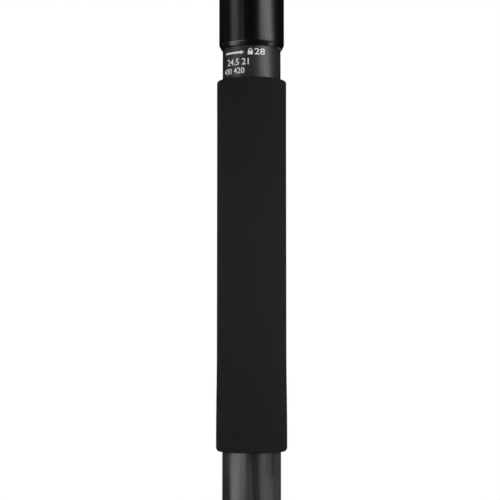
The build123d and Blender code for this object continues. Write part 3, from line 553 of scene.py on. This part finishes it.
grip_step = 2 * mm
grip_outline = [(grip_bore, grip_start)]
grip_outline += rounded((grip_top, grip_start), (1, 0), (0, 1), grip_top_soft, 8)
depth = grip_top_soft
while depth + grip_step < grip_long - grip_foot_soft:
    depth += grip_step
    grip_outline.append((grip_radius(depth), grip_start + depth))
grip_outline += rounded((grip_foot, grip_end), (0, 1), (-1, 0), grip_foot_soft, 8)
grip_outline.append((grip_bore, grip_end))
grip = finish_mesh("foam_grip", lathe(grip_outline), place["a"], "leg_a_upper", foam)
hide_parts("leg_a_grip")

# The twist locks are moulded rubber over an alloy sleeve, with a fluted band to hold and a bead at
# each side of it. Each sleeve screws on to one tube and squeezes a split collet on the next.
lock_rubber = Finish("lock_rubber", (0.022, 0.022, 0.0225), 0.66, Specular_IOR_Level=0.3)
lock_rubber.mottle(lock_rubber.noise(500, 3), 0.85, 1.2)
lock_rubber.relief(lock_rubber.noise(1800, 3), 0.05 * mm, 0.7, 0.25 * mm)
flute_run_out = 1.2 * mm


def flute_cut(count, flute_radius, depth, outer, start, end):
    """Cuts round-bottomed flutes from outside, which run out softly at their start and end."""
    reach = outer + flute_radius - depth

    def cut(angle, radius, station):
        if not start < station < end:
            return radius
        turn = (angle + math.pi / count) % (math.tau / count) - math.pi / count
        inside = flute_radius**2 - (reach * math.sin(turn)) ** 2
        if inside <= 0:
            return radius
        floor_radius = min(radius, reach * math.cos(turn) - math.sqrt(inside))
        share = min(1, (station - start) / flute_run_out, (end - station) / flute_run_out)
        return radius - (radius - floor_radius) * math.sin(math.pi / 2 * share)

    return cut


def ring_cut(stations, width, depth, outer):
    """Cuts soft grooves round the outer radius, centred on stations."""

    def cut(angle, radius, station):
        away = min(abs(station - centre) for centre in stations)
        if radius < outer - hair or away >= width / 2:
            return radius
        return radius - depth * (0.5 + 0.5 * math.cos(math.tau * away / width))

    return cut


def both_cuts(one, two):
    """The deeper of two cuts."""
    return lambda *point: min(one(*point), two(*point))


lock_edge, lock_bead, lock_band = 1.7 * mm, 4.6 * mm, 6.5 * mm
lock_thread_deep, lock_lip = 17.9 * mm, 4 * mm
lock_thread_play, lock_lip_play = 0.08 * mm, 0.15 * mm
lock_taper_start, lock_taper_end = 0.4 * mm, -0.5 * mm
bead_step, band_step = 0.25 * mm, 0.8 * mm


def lock_sleeve(name, letter, outer_tube, inner_tube):
    """A fluted sleeve, bored in a taper for its collet."""
    start, end, radius = extent(name, place[letter])
    outer = extent(f"leg_{letter}_{outer_tube}_tube", place[letter])[2]
    inner = extent(f"leg_{letter}_{inner_tube}_tube", place[letter])[2]
    thread_end, lip = start + lock_thread_deep, end - lock_lip
    face = [(radius, start + lock_edge), (radius, start + lock_bead - mm)]
    face += [(radius, start + lock_band), (radius, end - lock_band)]
    face += [(radius, end - lock_bead + mm), (radius, end - lock_edge)]
    outline = [
        (outer + lock_thread_play, start),
        *rounded((radius, start), (1, 0), (0, 1), lock_edge),
        *in_steps(face[:3], bead_step)[1:],
        *in_steps(face[2:4], band_step)[1:],
        *in_steps(face[3:], bead_step)[1:-1],
        *rounded((radius, end), (0, 1), (-1, 0), lock_edge),
        (inner + lock_lip_play, end),
        (inner + lock_lip_play, lip),
        (outer + lock_taper_end, lip),
        (outer + lock_taper_start, thread_end),
        (outer + lock_thread_play, thread_end),
    ]
    flutes = flute_cut(
        count=18,
        flute_radius=1.6 * mm,
        depth=0.7 * mm,
        outer=radius,
        start=start + lock_band,
        end=end - lock_band,
    )
    bead_stations = [start + lock_bead, end - lock_bead]
    beads = ring_cut(bead_stations, width=1.4 * mm, depth=0.4 * mm, outer=radius)
    return lathe(outline, facets=216, cut=both_cuts(flutes, beads))


for letter in leg_letters:
    for number, outer_tube, inner_tube in ((1, "upper", "middle"), (2, "middle", "lower")):
        name = f"leg_{letter}_lock_{number}"
        work = lock_sleeve(name, letter, outer_tube, inner_tube)
        sleeve = finish_mesh(f"{name}_moulded", work, place[letter], name, lock_rubber)
        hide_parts(name)
        dress(guide_plastic, f"leg_{letter}_collet_{number}")
    dress(guide_plastic, f"leg_{letter}_middle_shim", f"leg_{letter}_lower_shim")

# The feet are moulded in a harder rubber, pushed on to the lowest tubes: a grooved neck, rings
# round the barrel, and a domed sole with two grooves for grip.
foot_rubber = Finish("foot_rubber", (0.025, 0.025, 0.025), 0.78, Specular_IOR_Level=0.25)
foot_rubber.mottle(foot_rubber.noise(350, 4), 0.8, 1.3)
foot_rubber.relief(foot_rubber.noise(1500, 3), 0.06 * mm, 0.6)
neck_inset, groove_inset = 1.2 * mm, 2.1 * mm
neck_long, groove_end, barrel_start = 4.4 * mm, 6 * mm, 7.6 * mm
ring_depths = (3 * mm, 5.5 * mm, 8 * mm)
sole_groove_turns, sole_groove_half, sole_groove_deep = (40, 54), 3, 0.45 * mm
widening = (0.8, 0.6)
for letter in leg_letters:
    foot_start, foot_end, foot_radius = extent(f"leg_{letter}_foot", place[letter])
    lower_end, lower_radius = extent(f"leg_{letter}_lower_tube", place[letter])[1:]
    dome = foot_end - foot_radius
    neck, groove = foot_radius - neck_inset, foot_radius - groove_inset
    neck_end, barrel = foot_start + neck_long, foot_start + barrel_start
    outline = [
        (0, lower_end),
        (lower_radius, lower_end),
        (lower_radius, foot_start),
        *rounded((neck, foot_start), (1, 0), (0, 1), 0.6 * mm, 4),
        *rounded((neck, neck_end), (0, 1), (-1, 0), 0.3 * mm, 3),
        *rounded((groove, neck_end), (-1, 0), (0, 1), 0.4 * mm, 3),
        *rounded((groove, foot_start + groove_end), (0, 1), widening, 0.4 * mm, 3),
        *rounded((foot_radius, barrel), widening, (0, 1), 0.8 * mm, 4),
        *in_steps([(foot_radius, barrel + 0.8 * mm), (foot_radius, dome)], bead_step)[1:],
    ]
    for step in range(1, 90):
        turn = math.radians(step)
        sole = foot_radius
        for groove_turn in sole_groove_turns:
            away = abs(90 - step - groove_turn)
            sole -= sole_groove_deep * max(0, 1 - (away / sole_groove_half) ** 2)
        outline.append((sole * math.cos(turn), dome + sole * math.sin(turn)))
    outline.append((0, foot_end))
    ring_stations = [barrel + below for below in ring_depths]
    rings = ring_cut(ring_stations, width=1.2 * mm, depth=0.5 * mm, outer=foot_radius)
    name, body = f"leg_{letter}_foot", f"leg_{letter}_lower"
    foot_work = lathe(outline, facets=128, cut=rings)
    foot = finish_mesh(f"{name}_moulded", foot_work, place[letter], body, foot_rubber)
    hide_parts(name)

# The centre column is a carbon tube, clamped by a fluted ring over the shoulder's neck. It has a
# turned plate at its top, and a plug cap with a sprung wire hook at its foot.
upright = Matrix.Identity(4)
dress(lacquered_tube("carbon_column", upright, 0.046), "column_tube")
ring_low, ring_high, ring_radius = extent("column_lock_ring", upright)
column_radius = extent("column_tube", upright)[2]
ring_bore = column_radius + 0.5 * mm
ring_cavity = 19.15 * mm
ring_cavity_top = ring_low + 13.6 * mm
ring_edge, ring_mouth_edge = 2 * mm, 0.8 * mm
ring_bead, ring_margin = 2.9 * mm, 4 * mm
ring_face = [(ring_radius, ring_low + ring_edge), (ring_radius, ring_high - ring_edge)]
ring_outline = [
    (ring_cavity, ring_low),
    *rounded((ring_radius, ring_low), (1, 0), (0, 1), ring_edge),
    *in_steps(ring_face, 0.5 * mm)[1:-1],
    *rounded((ring_radius, ring_high), (0, 1), (-1, 0), ring_edge),
    *rounded((ring_bore, ring_high), (-1, 0), (0, -1), ring_mouth_edge),
    (ring_bore, ring_cavity_top),
    (ring_cavity, ring_cavity_top),
]
ring_flutes = flute_cut(
    count=20,
    flute_radius=2.2 * mm,
    depth=0.9 * mm,
    outer=ring_radius,
    start=ring_low + ring_margin,
    end=ring_high - ring_margin,
)
ring_bead_stations = [ring_low + ring_bead, ring_high - ring_bead]
ring_beads = ring_cut(ring_bead_stations, width=1.1 * mm, depth=0.35 * mm, outer=ring_radius)
ring_work = lathe(ring_outline, facets=240, cut=both_cuts(ring_flutes, ring_beads))
column_ring = finish_mesh("column_ring_moulded", ring_work, upright, "column_ring", lock_rubber)
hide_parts("column_lock_ring")

satin_black = Finish("satin_black", (0.018, 0.018, 0.0185), 0.38, Specular_IOR_Level=0.5)
satin_black.mottle(satin_black.noise(900, 3), 0.88, 1.12)
satin_black.polish(satin_black.noise(700, 3), 0.33, 0.44)
satin_black.relief(satin_black.noise(2600, 3, (0.04, 0.04, 1)), 0.01 * mm, 0.7, 0.35 * mm)
dress(satin_black, "column_plate")
dress(powder_coat, "column_cap")
dress(bright_steel, "weight_hook")

# The head stands on a turned base, satin anodised, with a printed scale of fifteen-degree ticks
# for panning. The housing's index points at it.
dress(satin_black, "head_base", "ball_housing")
base_low, _, base_radius = extent("head_base", upright)
housing_low = base_low + 9 * mm
upside_down = Matrix.Rotation(math.pi, 4, "X")
index_azimuth = math.radians(-45)
tick_degrees, figure_degrees = 15, 90
tick_top, figures_low = housing_low - 1.2 * mm, base_low + 1.9 * mm
tick_half, tick_short, tick_tall = 0.14 * mm, 1.4 * mm, 2.4 * mm
scale = []
for degrees in range(0, 360, tick_degrees):
    middle = base_radius * math.radians(degrees)
    tick_low = tick_top - (tick_short if degrees % figure_degrees else tick_tall)
    scale.append(flat_box(middle - tick_half, middle + tick_half, tick_low, tick_top))
    if degrees % figure_degrees == 0:
        figures = flat_figures(str(degrees), 2.1 * mm, right=0, baseline=figures_low)
        half_wide = -min(vertex.co.x for vertex in figures.vertices) / 2
        figures.transform(Matrix.Translation((middle + half_wide, 0, 0)))
        scale.append(figures)
printed("pan_scale", scale, upside_down, base_radius, -index_azimuth, "column")
index_half, index_low = 0.8 * mm, housing_low + 1.6 * mm
index_top = index_low + 1.8 * mm
index_mark = flat_shape([(0, index_low), (index_half, index_top), (-index_half, index_top)])
printed("pan_index", [index_mark], upside_down, base_radius, -index_azimuth, "head")

# The ball and its stem are turned from one bar and polished. The ball sits in the housing on a
# plastic seat, which the lock knob's screw presses on it.
ball_metal = Finish("ball_metal", (0.52, 0.52, 0.53), 0.16, 1.0)
ball_metal.mottle(ball_metal.noise(300, 3), 0.93, 1.05)
ball_metal.polish(ball_metal.noise(800, 3), 0.11, 0.22)
ball_metal.relief(ball_metal.noise(1200, 2), 0.004 * mm, 0.4, 0.2 * mm)
dress(guide_plastic, "ball_seat")
dress(ball_metal, "ball_stem")

# Each knob is moulded in rubber over a steel screw, with a bead at its neck and eight finger flutes
# that run out through its face, and a turned alloy disc is let into that face.
knob_rubber = Finish("knob_rubber", (0.024, 0.024, 0.0245), 0.62, Specular_IOR_Level=0.35)
knob_rubber.mottle(knob_rubber.noise(500, 3), 0.85, 1.2)
knob_rubber.relief(knob_rubber.noise(1800, 3), 0.04 * mm, 0.6, 0.25 * mm)
knob_edge, knob_bead_start, knob_flutes_start = 1.2 * mm, 2.1 * mm, 2.6 * mm
screw_edge, recess_deep, recess_edge = 0.4 * mm, 1.2 * mm, 0.3 * mm
disc_inset, disc_gap, disc_edge = 0.25 * mm, 0.3 * mm, 0.35 * mm
disc_share, dimple_rim, dimple_floor = 0.66, 0.55, 0.5
past_face = 2 * mm
for name, turning, body, knob_long in (
    ("ball_lock_knob", "ball_knob_turn", "ball_knob", 20 * mm),
    ("pan_lock_knob", "pan_knob_turn", "pan_knob", 13 * mm),
    ("clamp_knob", "jaw_knob_turn", "jaw_knob", 17 * mm),
):
    facing_out = Vector((0, 0, 1)).rotation_difference(Vector(joints[turning]["axis"]))
    along = Matrix.Translation(joints[turning]["pos_m"]) @ facing_out.to_matrix().to_4x4()
    screw_start, knob_end, knob_radius = extent(name, along)
    knob_start = knob_end - knob_long
    behind = [along.inverted() @ vertex.co for vertex in nodes[name].data.vertices]
    screw = max(point.xy.length for point in behind if point.z < knob_start - 0.1 * mm)
    disc_radius = disc_share * knob_radius
    recess, disc_face = knob_end - recess_deep, knob_end - disc_inset
    band = [(knob_radius, knob_start + knob_edge), (knob_radius, knob_end - knob_edge)]
    outline = [
        (0, screw_start),
        (screw - screw_edge, screw_start),
        (screw, screw_start + screw_edge),
        (screw, knob_start),
        *rounded((knob_radius, knob_start), (1, 0), (0, 1), knob_edge),
        *in_steps(band, 0.3 * mm)[1:-1],
        *rounded((knob_radius, knob_end), (0, 1), (-1, 0), knob_edge),
        *rounded((disc_radius + disc_gap, knob_end), (-1, 0), (0, -1), recess_edge, 3),
        (disc_radius + disc_gap, recess),
        (0, recess),
    ]
    knob_flutes = flute_cut(
        count=8,
        flute_radius=3.2 * mm,
        depth=1.1 * mm,
        outer=knob_radius,
        start=knob_start + knob_flutes_start,
        end=knob_end + past_face,
    )
    bead_station = knob_start + knob_bead_start
    knob_bead = ring_cut([bead_station], width=0.8 * mm, depth=0.25 * mm, outer=knob_radius)
    knob_work = lathe(outline, cut=both_cuts(knob_flutes, knob_bead))
    knob = finish_mesh(f"{name}_moulded", knob_work, along, body, knob_rubber)
    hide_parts(name)
    turned = Finish(f"{name}_turned", (0.03, 0.03, 0.031), 0.3, place=along, Specular_IOR_Level=0.6)
    turned.mottle(turned.noise(800, 3), 0.9, 1.12)
    turned.polish(turned.noise(600, 3), 0.29, 0.36)
    disc_outline = [
        (0, recess),
        (disc_radius, recess),
        *rounded((disc_radius, disc_face), (0, 1), (-1, 0), disc_edge, 4),
        (dimple_rim * disc_radius, disc_face),
        (dimple_floor * disc_radius, disc_face - disc_edge),
        (0, disc_face - disc_edge),
    ]
    disc_work = lathe(disc_outline, facets=128)
    disc = finish_mesh(f"{name}_disc", disc_work, along, body, turned, crease=25)

# The clamp, its jaw and the camera plate are milled from alloy bar and satin anodised. The jaw
# slides on pins in the clamp, and holds the plate by the dovetail along its sides.
clamp_black = Finish("clamp_black", (0.02, 0.02, 0.0205), 0.4, Specular_IOR_Level=0.5)
clamp_black.mottle(clamp_black.noise(700, 3), 0.88, 1.12)
clamp_black.polish(clamp_black.noise(600, 3, (1, 8, 1)), 0.34, 0.46)
clamp_black.relief(clamp_black.noise(1500, 2, (1, 6, 1)), 0.01 * mm, 0.6, 0.35 * mm)
dress(clamp_black, "clamp_base", "clamp_jaw", "camera_plate")

# The plate's pad is moulded in black rubber with ribs across it, which grip the camera's base,
# and glued on the plate round the hole for its screw.
pad_rubber = Finish("pad_rubber", (0.02, 0.02, 0.0205), 0.75, Specular_IOR_Level=0.3)
pad_rubber.mottle(pad_rubber.noise(600, 3), 0.85, 1.2)
pad_rubber.relief(pad_rubber.noise(1500, 3), 0.05 * mm, 0.6)
pad_mesh = nodes["plate_pad"].data
pad_top = max(vertex.co.z for vertex in pad_mesh.vertices)
pad_half_x = max(vertex.co.x for vertex in pad_mesh.vertices)
pad_half_y = max(vertex.co.y for vertex in pad_mesh.vertices)
rib_rise, rib_pitch, rib_half = 0.4 * mm, 1.6 * mm, 0.5 * mm
rib_top_half, rib_margin = 0.25 * mm, 0.4 * mm
pad_hole, pad_corner, hole_margin = 7 * mm, 3 * mm, 0.5 * mm
pad_work = bmesh.new()
pad_work.from_mesh(pad_mesh)
for vertex in pad_work.verts:
    if vertex.co.z > pad_top - hair:
        vertex.co.z = pad_top - rib_rise


def add_rib(work, y, start, end):
    """A rib from one x to another, its top narrower than its foot."""
    half_section = [(rib_top_half, pad_top), (rib_half, pad_top - rib_rise)]
    section = [(-across, z) for across, z in reversed(half_section)] + half_section
    one, two = ([work.verts.new((x, y + across, z)) for across, z in section] for x in (start, end))
    for i in range(4):
        n = (i + 1) % 4
        work.faces.new((one[i], two[i], two[n], one[n]))
    work.faces.new(one)
    work.faces.new(two)


rib_count = int((pad_half_y - rib_half) / rib_pitch)
for i in range(-rib_count, rib_count + 1):
    y = i * rib_pitch
    over_corner = max(0, abs(y) + rib_half - (pad_half_y - pad_corner))
    corner_reach = math.sqrt(max(0, pad_corner**2 - over_corner**2))
    reach = pad_half_x - pad_corner + corner_reach - rib_margin
    hole = math.sqrt(max(0, (pad_hole + hole_margin) ** 2 - max(0, abs(y) - rib_half) ** 2))
    if hole > 0:
        add_rib(pad_work, y, -reach, -hole)
        add_rib(pad_work, y, hole, reach)
    else:
        add_rib(pad_work, y, -reach, reach)
ribbed_pad = finish_mesh("ribbed_pad", pad_work, upright, "quick_plate", pad_rubber)
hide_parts("plate_pad")

# The camera screw is turned from steel, with a quarter-inch thread of twenty turns to the inch, a
# thin neck that holds it in the plate, and a slot for a coin under its head.
screw_low, screw_high, screw_head = extent("camera_screw", upright)
screw_radius, screw_neck = 3.175 * mm, 2.4 * mm
screw_pitch, screw_depth, screw_chamfer = 1.27 * mm, 0.6 * mm, 0.8 * mm
screw_head_top, screw_head_edge = screw_low + 3 * mm, 0.4 * mm
slot_wide, slot_deep = 1.8 * mm, 1.6 * mm
thread_ends = [(screw_radius, pad_top), (screw_radius, screw_high - screw_chamfer)]
screw_outline = [
    (0, screw_low),
    *rounded((screw_head, screw_low), (1, 0), (0, 1), screw_head_edge, 4),
    *rounded((screw_head, screw_head_top), (0, 1), (-1, 0), screw_head_edge, 4),
    (screw_neck, screw_head_top),
    (screw_neck, pad_top),
    *in_steps(thread_ends, screw_pitch / 12),
    (screw_radius - screw_chamfer, screw_high),
    (0, screw_high),
]
screw_thread = thread_cut(screw_pitch, screw_depth, screw_radius, pad_top, screw_high)
screw_work = lathe(screw_outline, facets=96, cut=screw_thread)
camera_screw = finish_mesh(
    "threaded_screw", screw_work, upright, "plate_screw", bright_steel, crease=50
)


def cut_away(piece, middle, size):
    """Cuts a box out of a piece."""
    block = bmesh.new()
    bmesh.ops.create_cube(block, size=1)
    bmesh.ops.scale(block, vec=size, verts=block.verts)
    bmesh.ops.translate(block, vec=middle, verts=block.verts)
    cutter_mesh = bpy.data.meshes.new("cutter")
    block.to_mesh(cutter_mesh)
    block.free()
    cutter = bpy.data.objects.new("cutter", cutter_mesh)
    scene.collection.objects.link(cutter)
    cut = piece.modifiers.new("cut", "BOOLEAN")
    cut.object = cutter
    found = piece.evaluated_get(bpy.context.evaluated_depsgraph_get())
    shaped = bpy.data.meshes.new_from_object(found)
    piece.modifiers.clear()
    piece.data = shaped
    bpy.data.objects.remove(cutter)


cut_away(camera_screw, (0, 0, screw_low), (4 * screw_head, slot_wide, 2 * slot_deep))
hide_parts("camera_screw")

# The studio: a white floor and background, soft light from all round, and long lamps beside the
# photographed leg that only gleam on it, with dark cloth round the set to keep its black surfaces
# black. The camera stands at the photograph's angle, square to that leg.
camera_distance = 0.776
eye_station = 0.2362
aim_station = 0.18645
focal_pixels, frame_pixels = 1620, 500
axis_offset = 0.00078
cloth_radius, cloth_height, cloth_floor = 2.2, 3.2, 0.003

pivot = place["a"].translation
down = place["a"].to_3x3().col[2]
out = place["a"].to_3x3().col[0]
along_hinge = Vector(joints["leg_a_fold"]["axis"])
towards_camera = out * math.sin(camera_turn) - along_hinge * math.cos(camera_turn)
rightwards = out * math.cos(camera_turn) + along_hinge * math.sin(camera_turn)


def beside_leg(degrees, distance, station):
    """A point round the photographed leg, from the camera's side of it, and rightwards positive."""
    turn = math.radians(degrees)
    facing_out = towards_camera * math.cos(turn) + rightwards * math.sin(turn)
    return pivot + down * station + facing_out * distance


def facing_frame(spot, target, upwards):
    """A camera's or lamp's placing: it looks from the spot at the target."""
    back = (spot - target).normalized()
    side = upwards.cross(back).normalized()
    return Matrix.Translation(spot) @ Matrix((side, back.cross(side), back)).transposed().to_4x4()


camera = bpy.data.objects.new("camera", bpy.data.cameras.new("camera"))
scene.collection.objects.link(camera)
camera.data.sensor_width = 36
camera.data.lens = camera.data.sensor_width * focal_pixels / frame_pixels
camera.data.clip_start, camera.data.clip_end = 0.05, 50
eye = beside_leg(0, camera_distance, eye_station) - rightwards * axis_offset
aim = pivot + down * aim_station - rightwards * axis_offset
camera.matrix_world = facing_frame(eye, aim, -down)
scene.camera = camera


def lamp(name, where, wide, tall, radiance):
    """A soft rectangular lamp of an even brightness, which only reflections show."""
    source = bpy.data.objects.new(name, bpy.data.lights.new(name, "AREA"))
    scene.collection.objects.link(source)
    source.data.shape = "RECTANGLE"
    source.data.size, source.data.size_y = wide, tall
    source.data.energy = radiance * wide * tall * math.pi
    source.matrix_world = where
    source.visible_camera = source.visible_diffuse = False


leg_lamp_away, set_lamp_away = 0.9, 1.5
high_lamp, set_middle = 1.1, 0.75
for name, degrees, station, wide, tall, radiance in (
    ("gleam_right_high", 50, -0.145, 0.7, 0.19, 4.0),
    ("gleam_right_gap", 66, 0.01, 0.62, 0.12, 3.9),
    ("gleam_left_high", -53.5, -0.09, 0.72, 0.3, 1.35),
    ("gleam_right_low", 56, 0.36, 0.7, 0.3, 1.05),
    ("gleam_right_strip", 72, -0.02, 0.12, 0.12, 2.4),
    ("gleam_left_edge", -112, 0.4, 0.5, 0.35, 0.7),
):
    spot = beside_leg(degrees, leg_lamp_away, station)
    lamp(name, facing_frame(spot, pivot + down * station, -down), wide, tall, radiance)
for name, x, y, wide, tall, radiance in (
    ("gleam_left_low", -0.31, -0.2, 0.28, 0.64, 4.0),
    ("gleam_rim_low", 0.69, -0.29, 0.4, 0.4, 1.0),
):
    spot = Vector((x, y, 2 * cloth_floor))
    lamp(name, facing_frame(spot, spot + Vector((0, 0, 1)), Vector((0, 1, 0))), wide, tall, radiance)
for name, azimuth, height, wide, tall, radiance in (
    ("gleam_back_right", 42, 0.22, 0.5, 0.4, 2.2),
    ("gleam_back_left", 128, 1.0, 0.5, 0.7, 1.8),
    ("gleam_left", 175, 0.62, 0.5, 0.6, 2.2),
    ("gleam_front_right", -18, 0.2, 0.5, 0.36, 2.2),
    ("gleam_high_back", 95, 1.6, 1.2, 0.6, 1.8),
    ("gleam_high_left", 185, 1.6, 1.2, 0.6, 1.8),
    ("gleam_high_front", -85, 1.6, 1.2, 0.6, 1.8),
):
    turn = math.radians(azimuth)
    spot = Vector((set_lamp_away * math.cos(turn), set_lamp_away * math.sin(turn), height))
    target = Vector((0, 0, set_middle if height > high_lamp else height))
    lamp(name, facing_frame(spot, target, Vector((0, 0, 1))), wide, tall, radiance)


def seen_share(tree):
    """One for a ray of the camera, of gloss or of glass, and nothing for a ray that lights."""
    rays = tree.nodes.new("ShaderNodeLightPath")
    seen = rays.outputs["Is Camera Ray"]
    for kind in ("Is Glossy Ray", "Is Transmission Ray"):
        either = tree.nodes.new("ShaderNodeMath")
        either.operation = "MAXIMUM"
        tree.links.new(seen, either.inputs[0])
        tree.links.new(rays.outputs[kind], either.inputs[1])
        seen = either.outputs[0]
    return seen


world = bpy.data.worlds.new("studio")
scene.world = world
world.use_nodes = True
world_tree = world.node_tree
soft_light = world_tree.nodes["Background"]
soft_level = 0.75
soft_light.inputs["Color"].default_value = (soft_level, soft_level, soft_level, 1)
white = world_tree.nodes.new("ShaderNodeBackground")
white.inputs["Color"].default_value = (1, 1, 1, 1)
mixed = world_tree.nodes.new("ShaderNodeMixShader")
world_tree.links.new(seen_share(world_tree), mixed.inputs[0])
world_tree.links.new(soft_light.outputs[0], mixed.inputs[1])
world_tree.links.new(white.outputs[0], mixed.inputs[2])
world_tree.links.new(mixed.outputs[0], world_tree.nodes["World Output"].inputs[0])


def plain_matt(name, level):
    """A matt grey of a level, without any gloss."""
    material = bpy.data.materials.new(name)
    material.use_nodes = True
    shader = material.node_tree.nodes["Principled BSDF"]
    shader.inputs["Base Color"].default_value = (level, level, level, 1)
    shader.inputs["Roughness"].default_value = 1
    shader.inputs["Specular IOR Level"].default_value = 0
    return material


floor_half = 6.0
floor_mesh = flat_box(-floor_half, floor_half, -floor_half, floor_half)
floor = bpy.data.objects.new("floor", floor_mesh)
scene.collection.objects.link(floor)
floor_level = 0.92
floor_white = plain_matt("floor_white", floor_level)
floor_tree = floor_white.node_tree
floor_shader = floor_tree.nodes["Principled BSDF"]
floor_shader.inputs["Emission Color"].default_value = (1, 1, 1, 1)
lift = floor_tree.nodes.new("ShaderNodeMath")
lift.operation = "MULTIPLY"
lift.inputs[1].default_value = 1.01 - soft_level * floor_level
floor_tree.links.new(seen_share(floor_tree), lift.inputs[0])
floor_tree.links.new(lift.outputs[0], floor_shader.inputs["Emission Strength"])
floor.data.materials.append(floor_white)
floor.visible_glossy = False

# The dark cloth lies on the floor and stands round the set, and only reflections see it.
cloth_mesh = bpy.data.meshes.new("dark_cloth")
sides = 48
turns = [math.tau * k / sides for k in range(sides)]
ring = [(cloth_radius * math.cos(turn), cloth_radius * math.sin(turn)) for turn in turns]
points = [(0, 0, cloth_floor)]
points += [(x, y, height) for height in (cloth_floor, cloth_height) for x, y in ring]
faces = []
for k in range(sides):
    one, two = 1 + k, 1 + (k + 1) % sides
    faces += [(0, one, two), (one, two, two + sides, one + sides)]
cloth_mesh.from_pydata(points, [], faces)
cloth = bpy.data.objects.new("dark_cloth", cloth_mesh)
scene.collection.objects.link(cloth)
cloth.data.materials.append(plain_matt("dark_cloth", 0.02))
cloth.visible_camera = cloth.visible_diffuse = cloth.visible_shadow = False
cloth.visible_transmission = False

scene.view_settings.view_transform = "Standard"
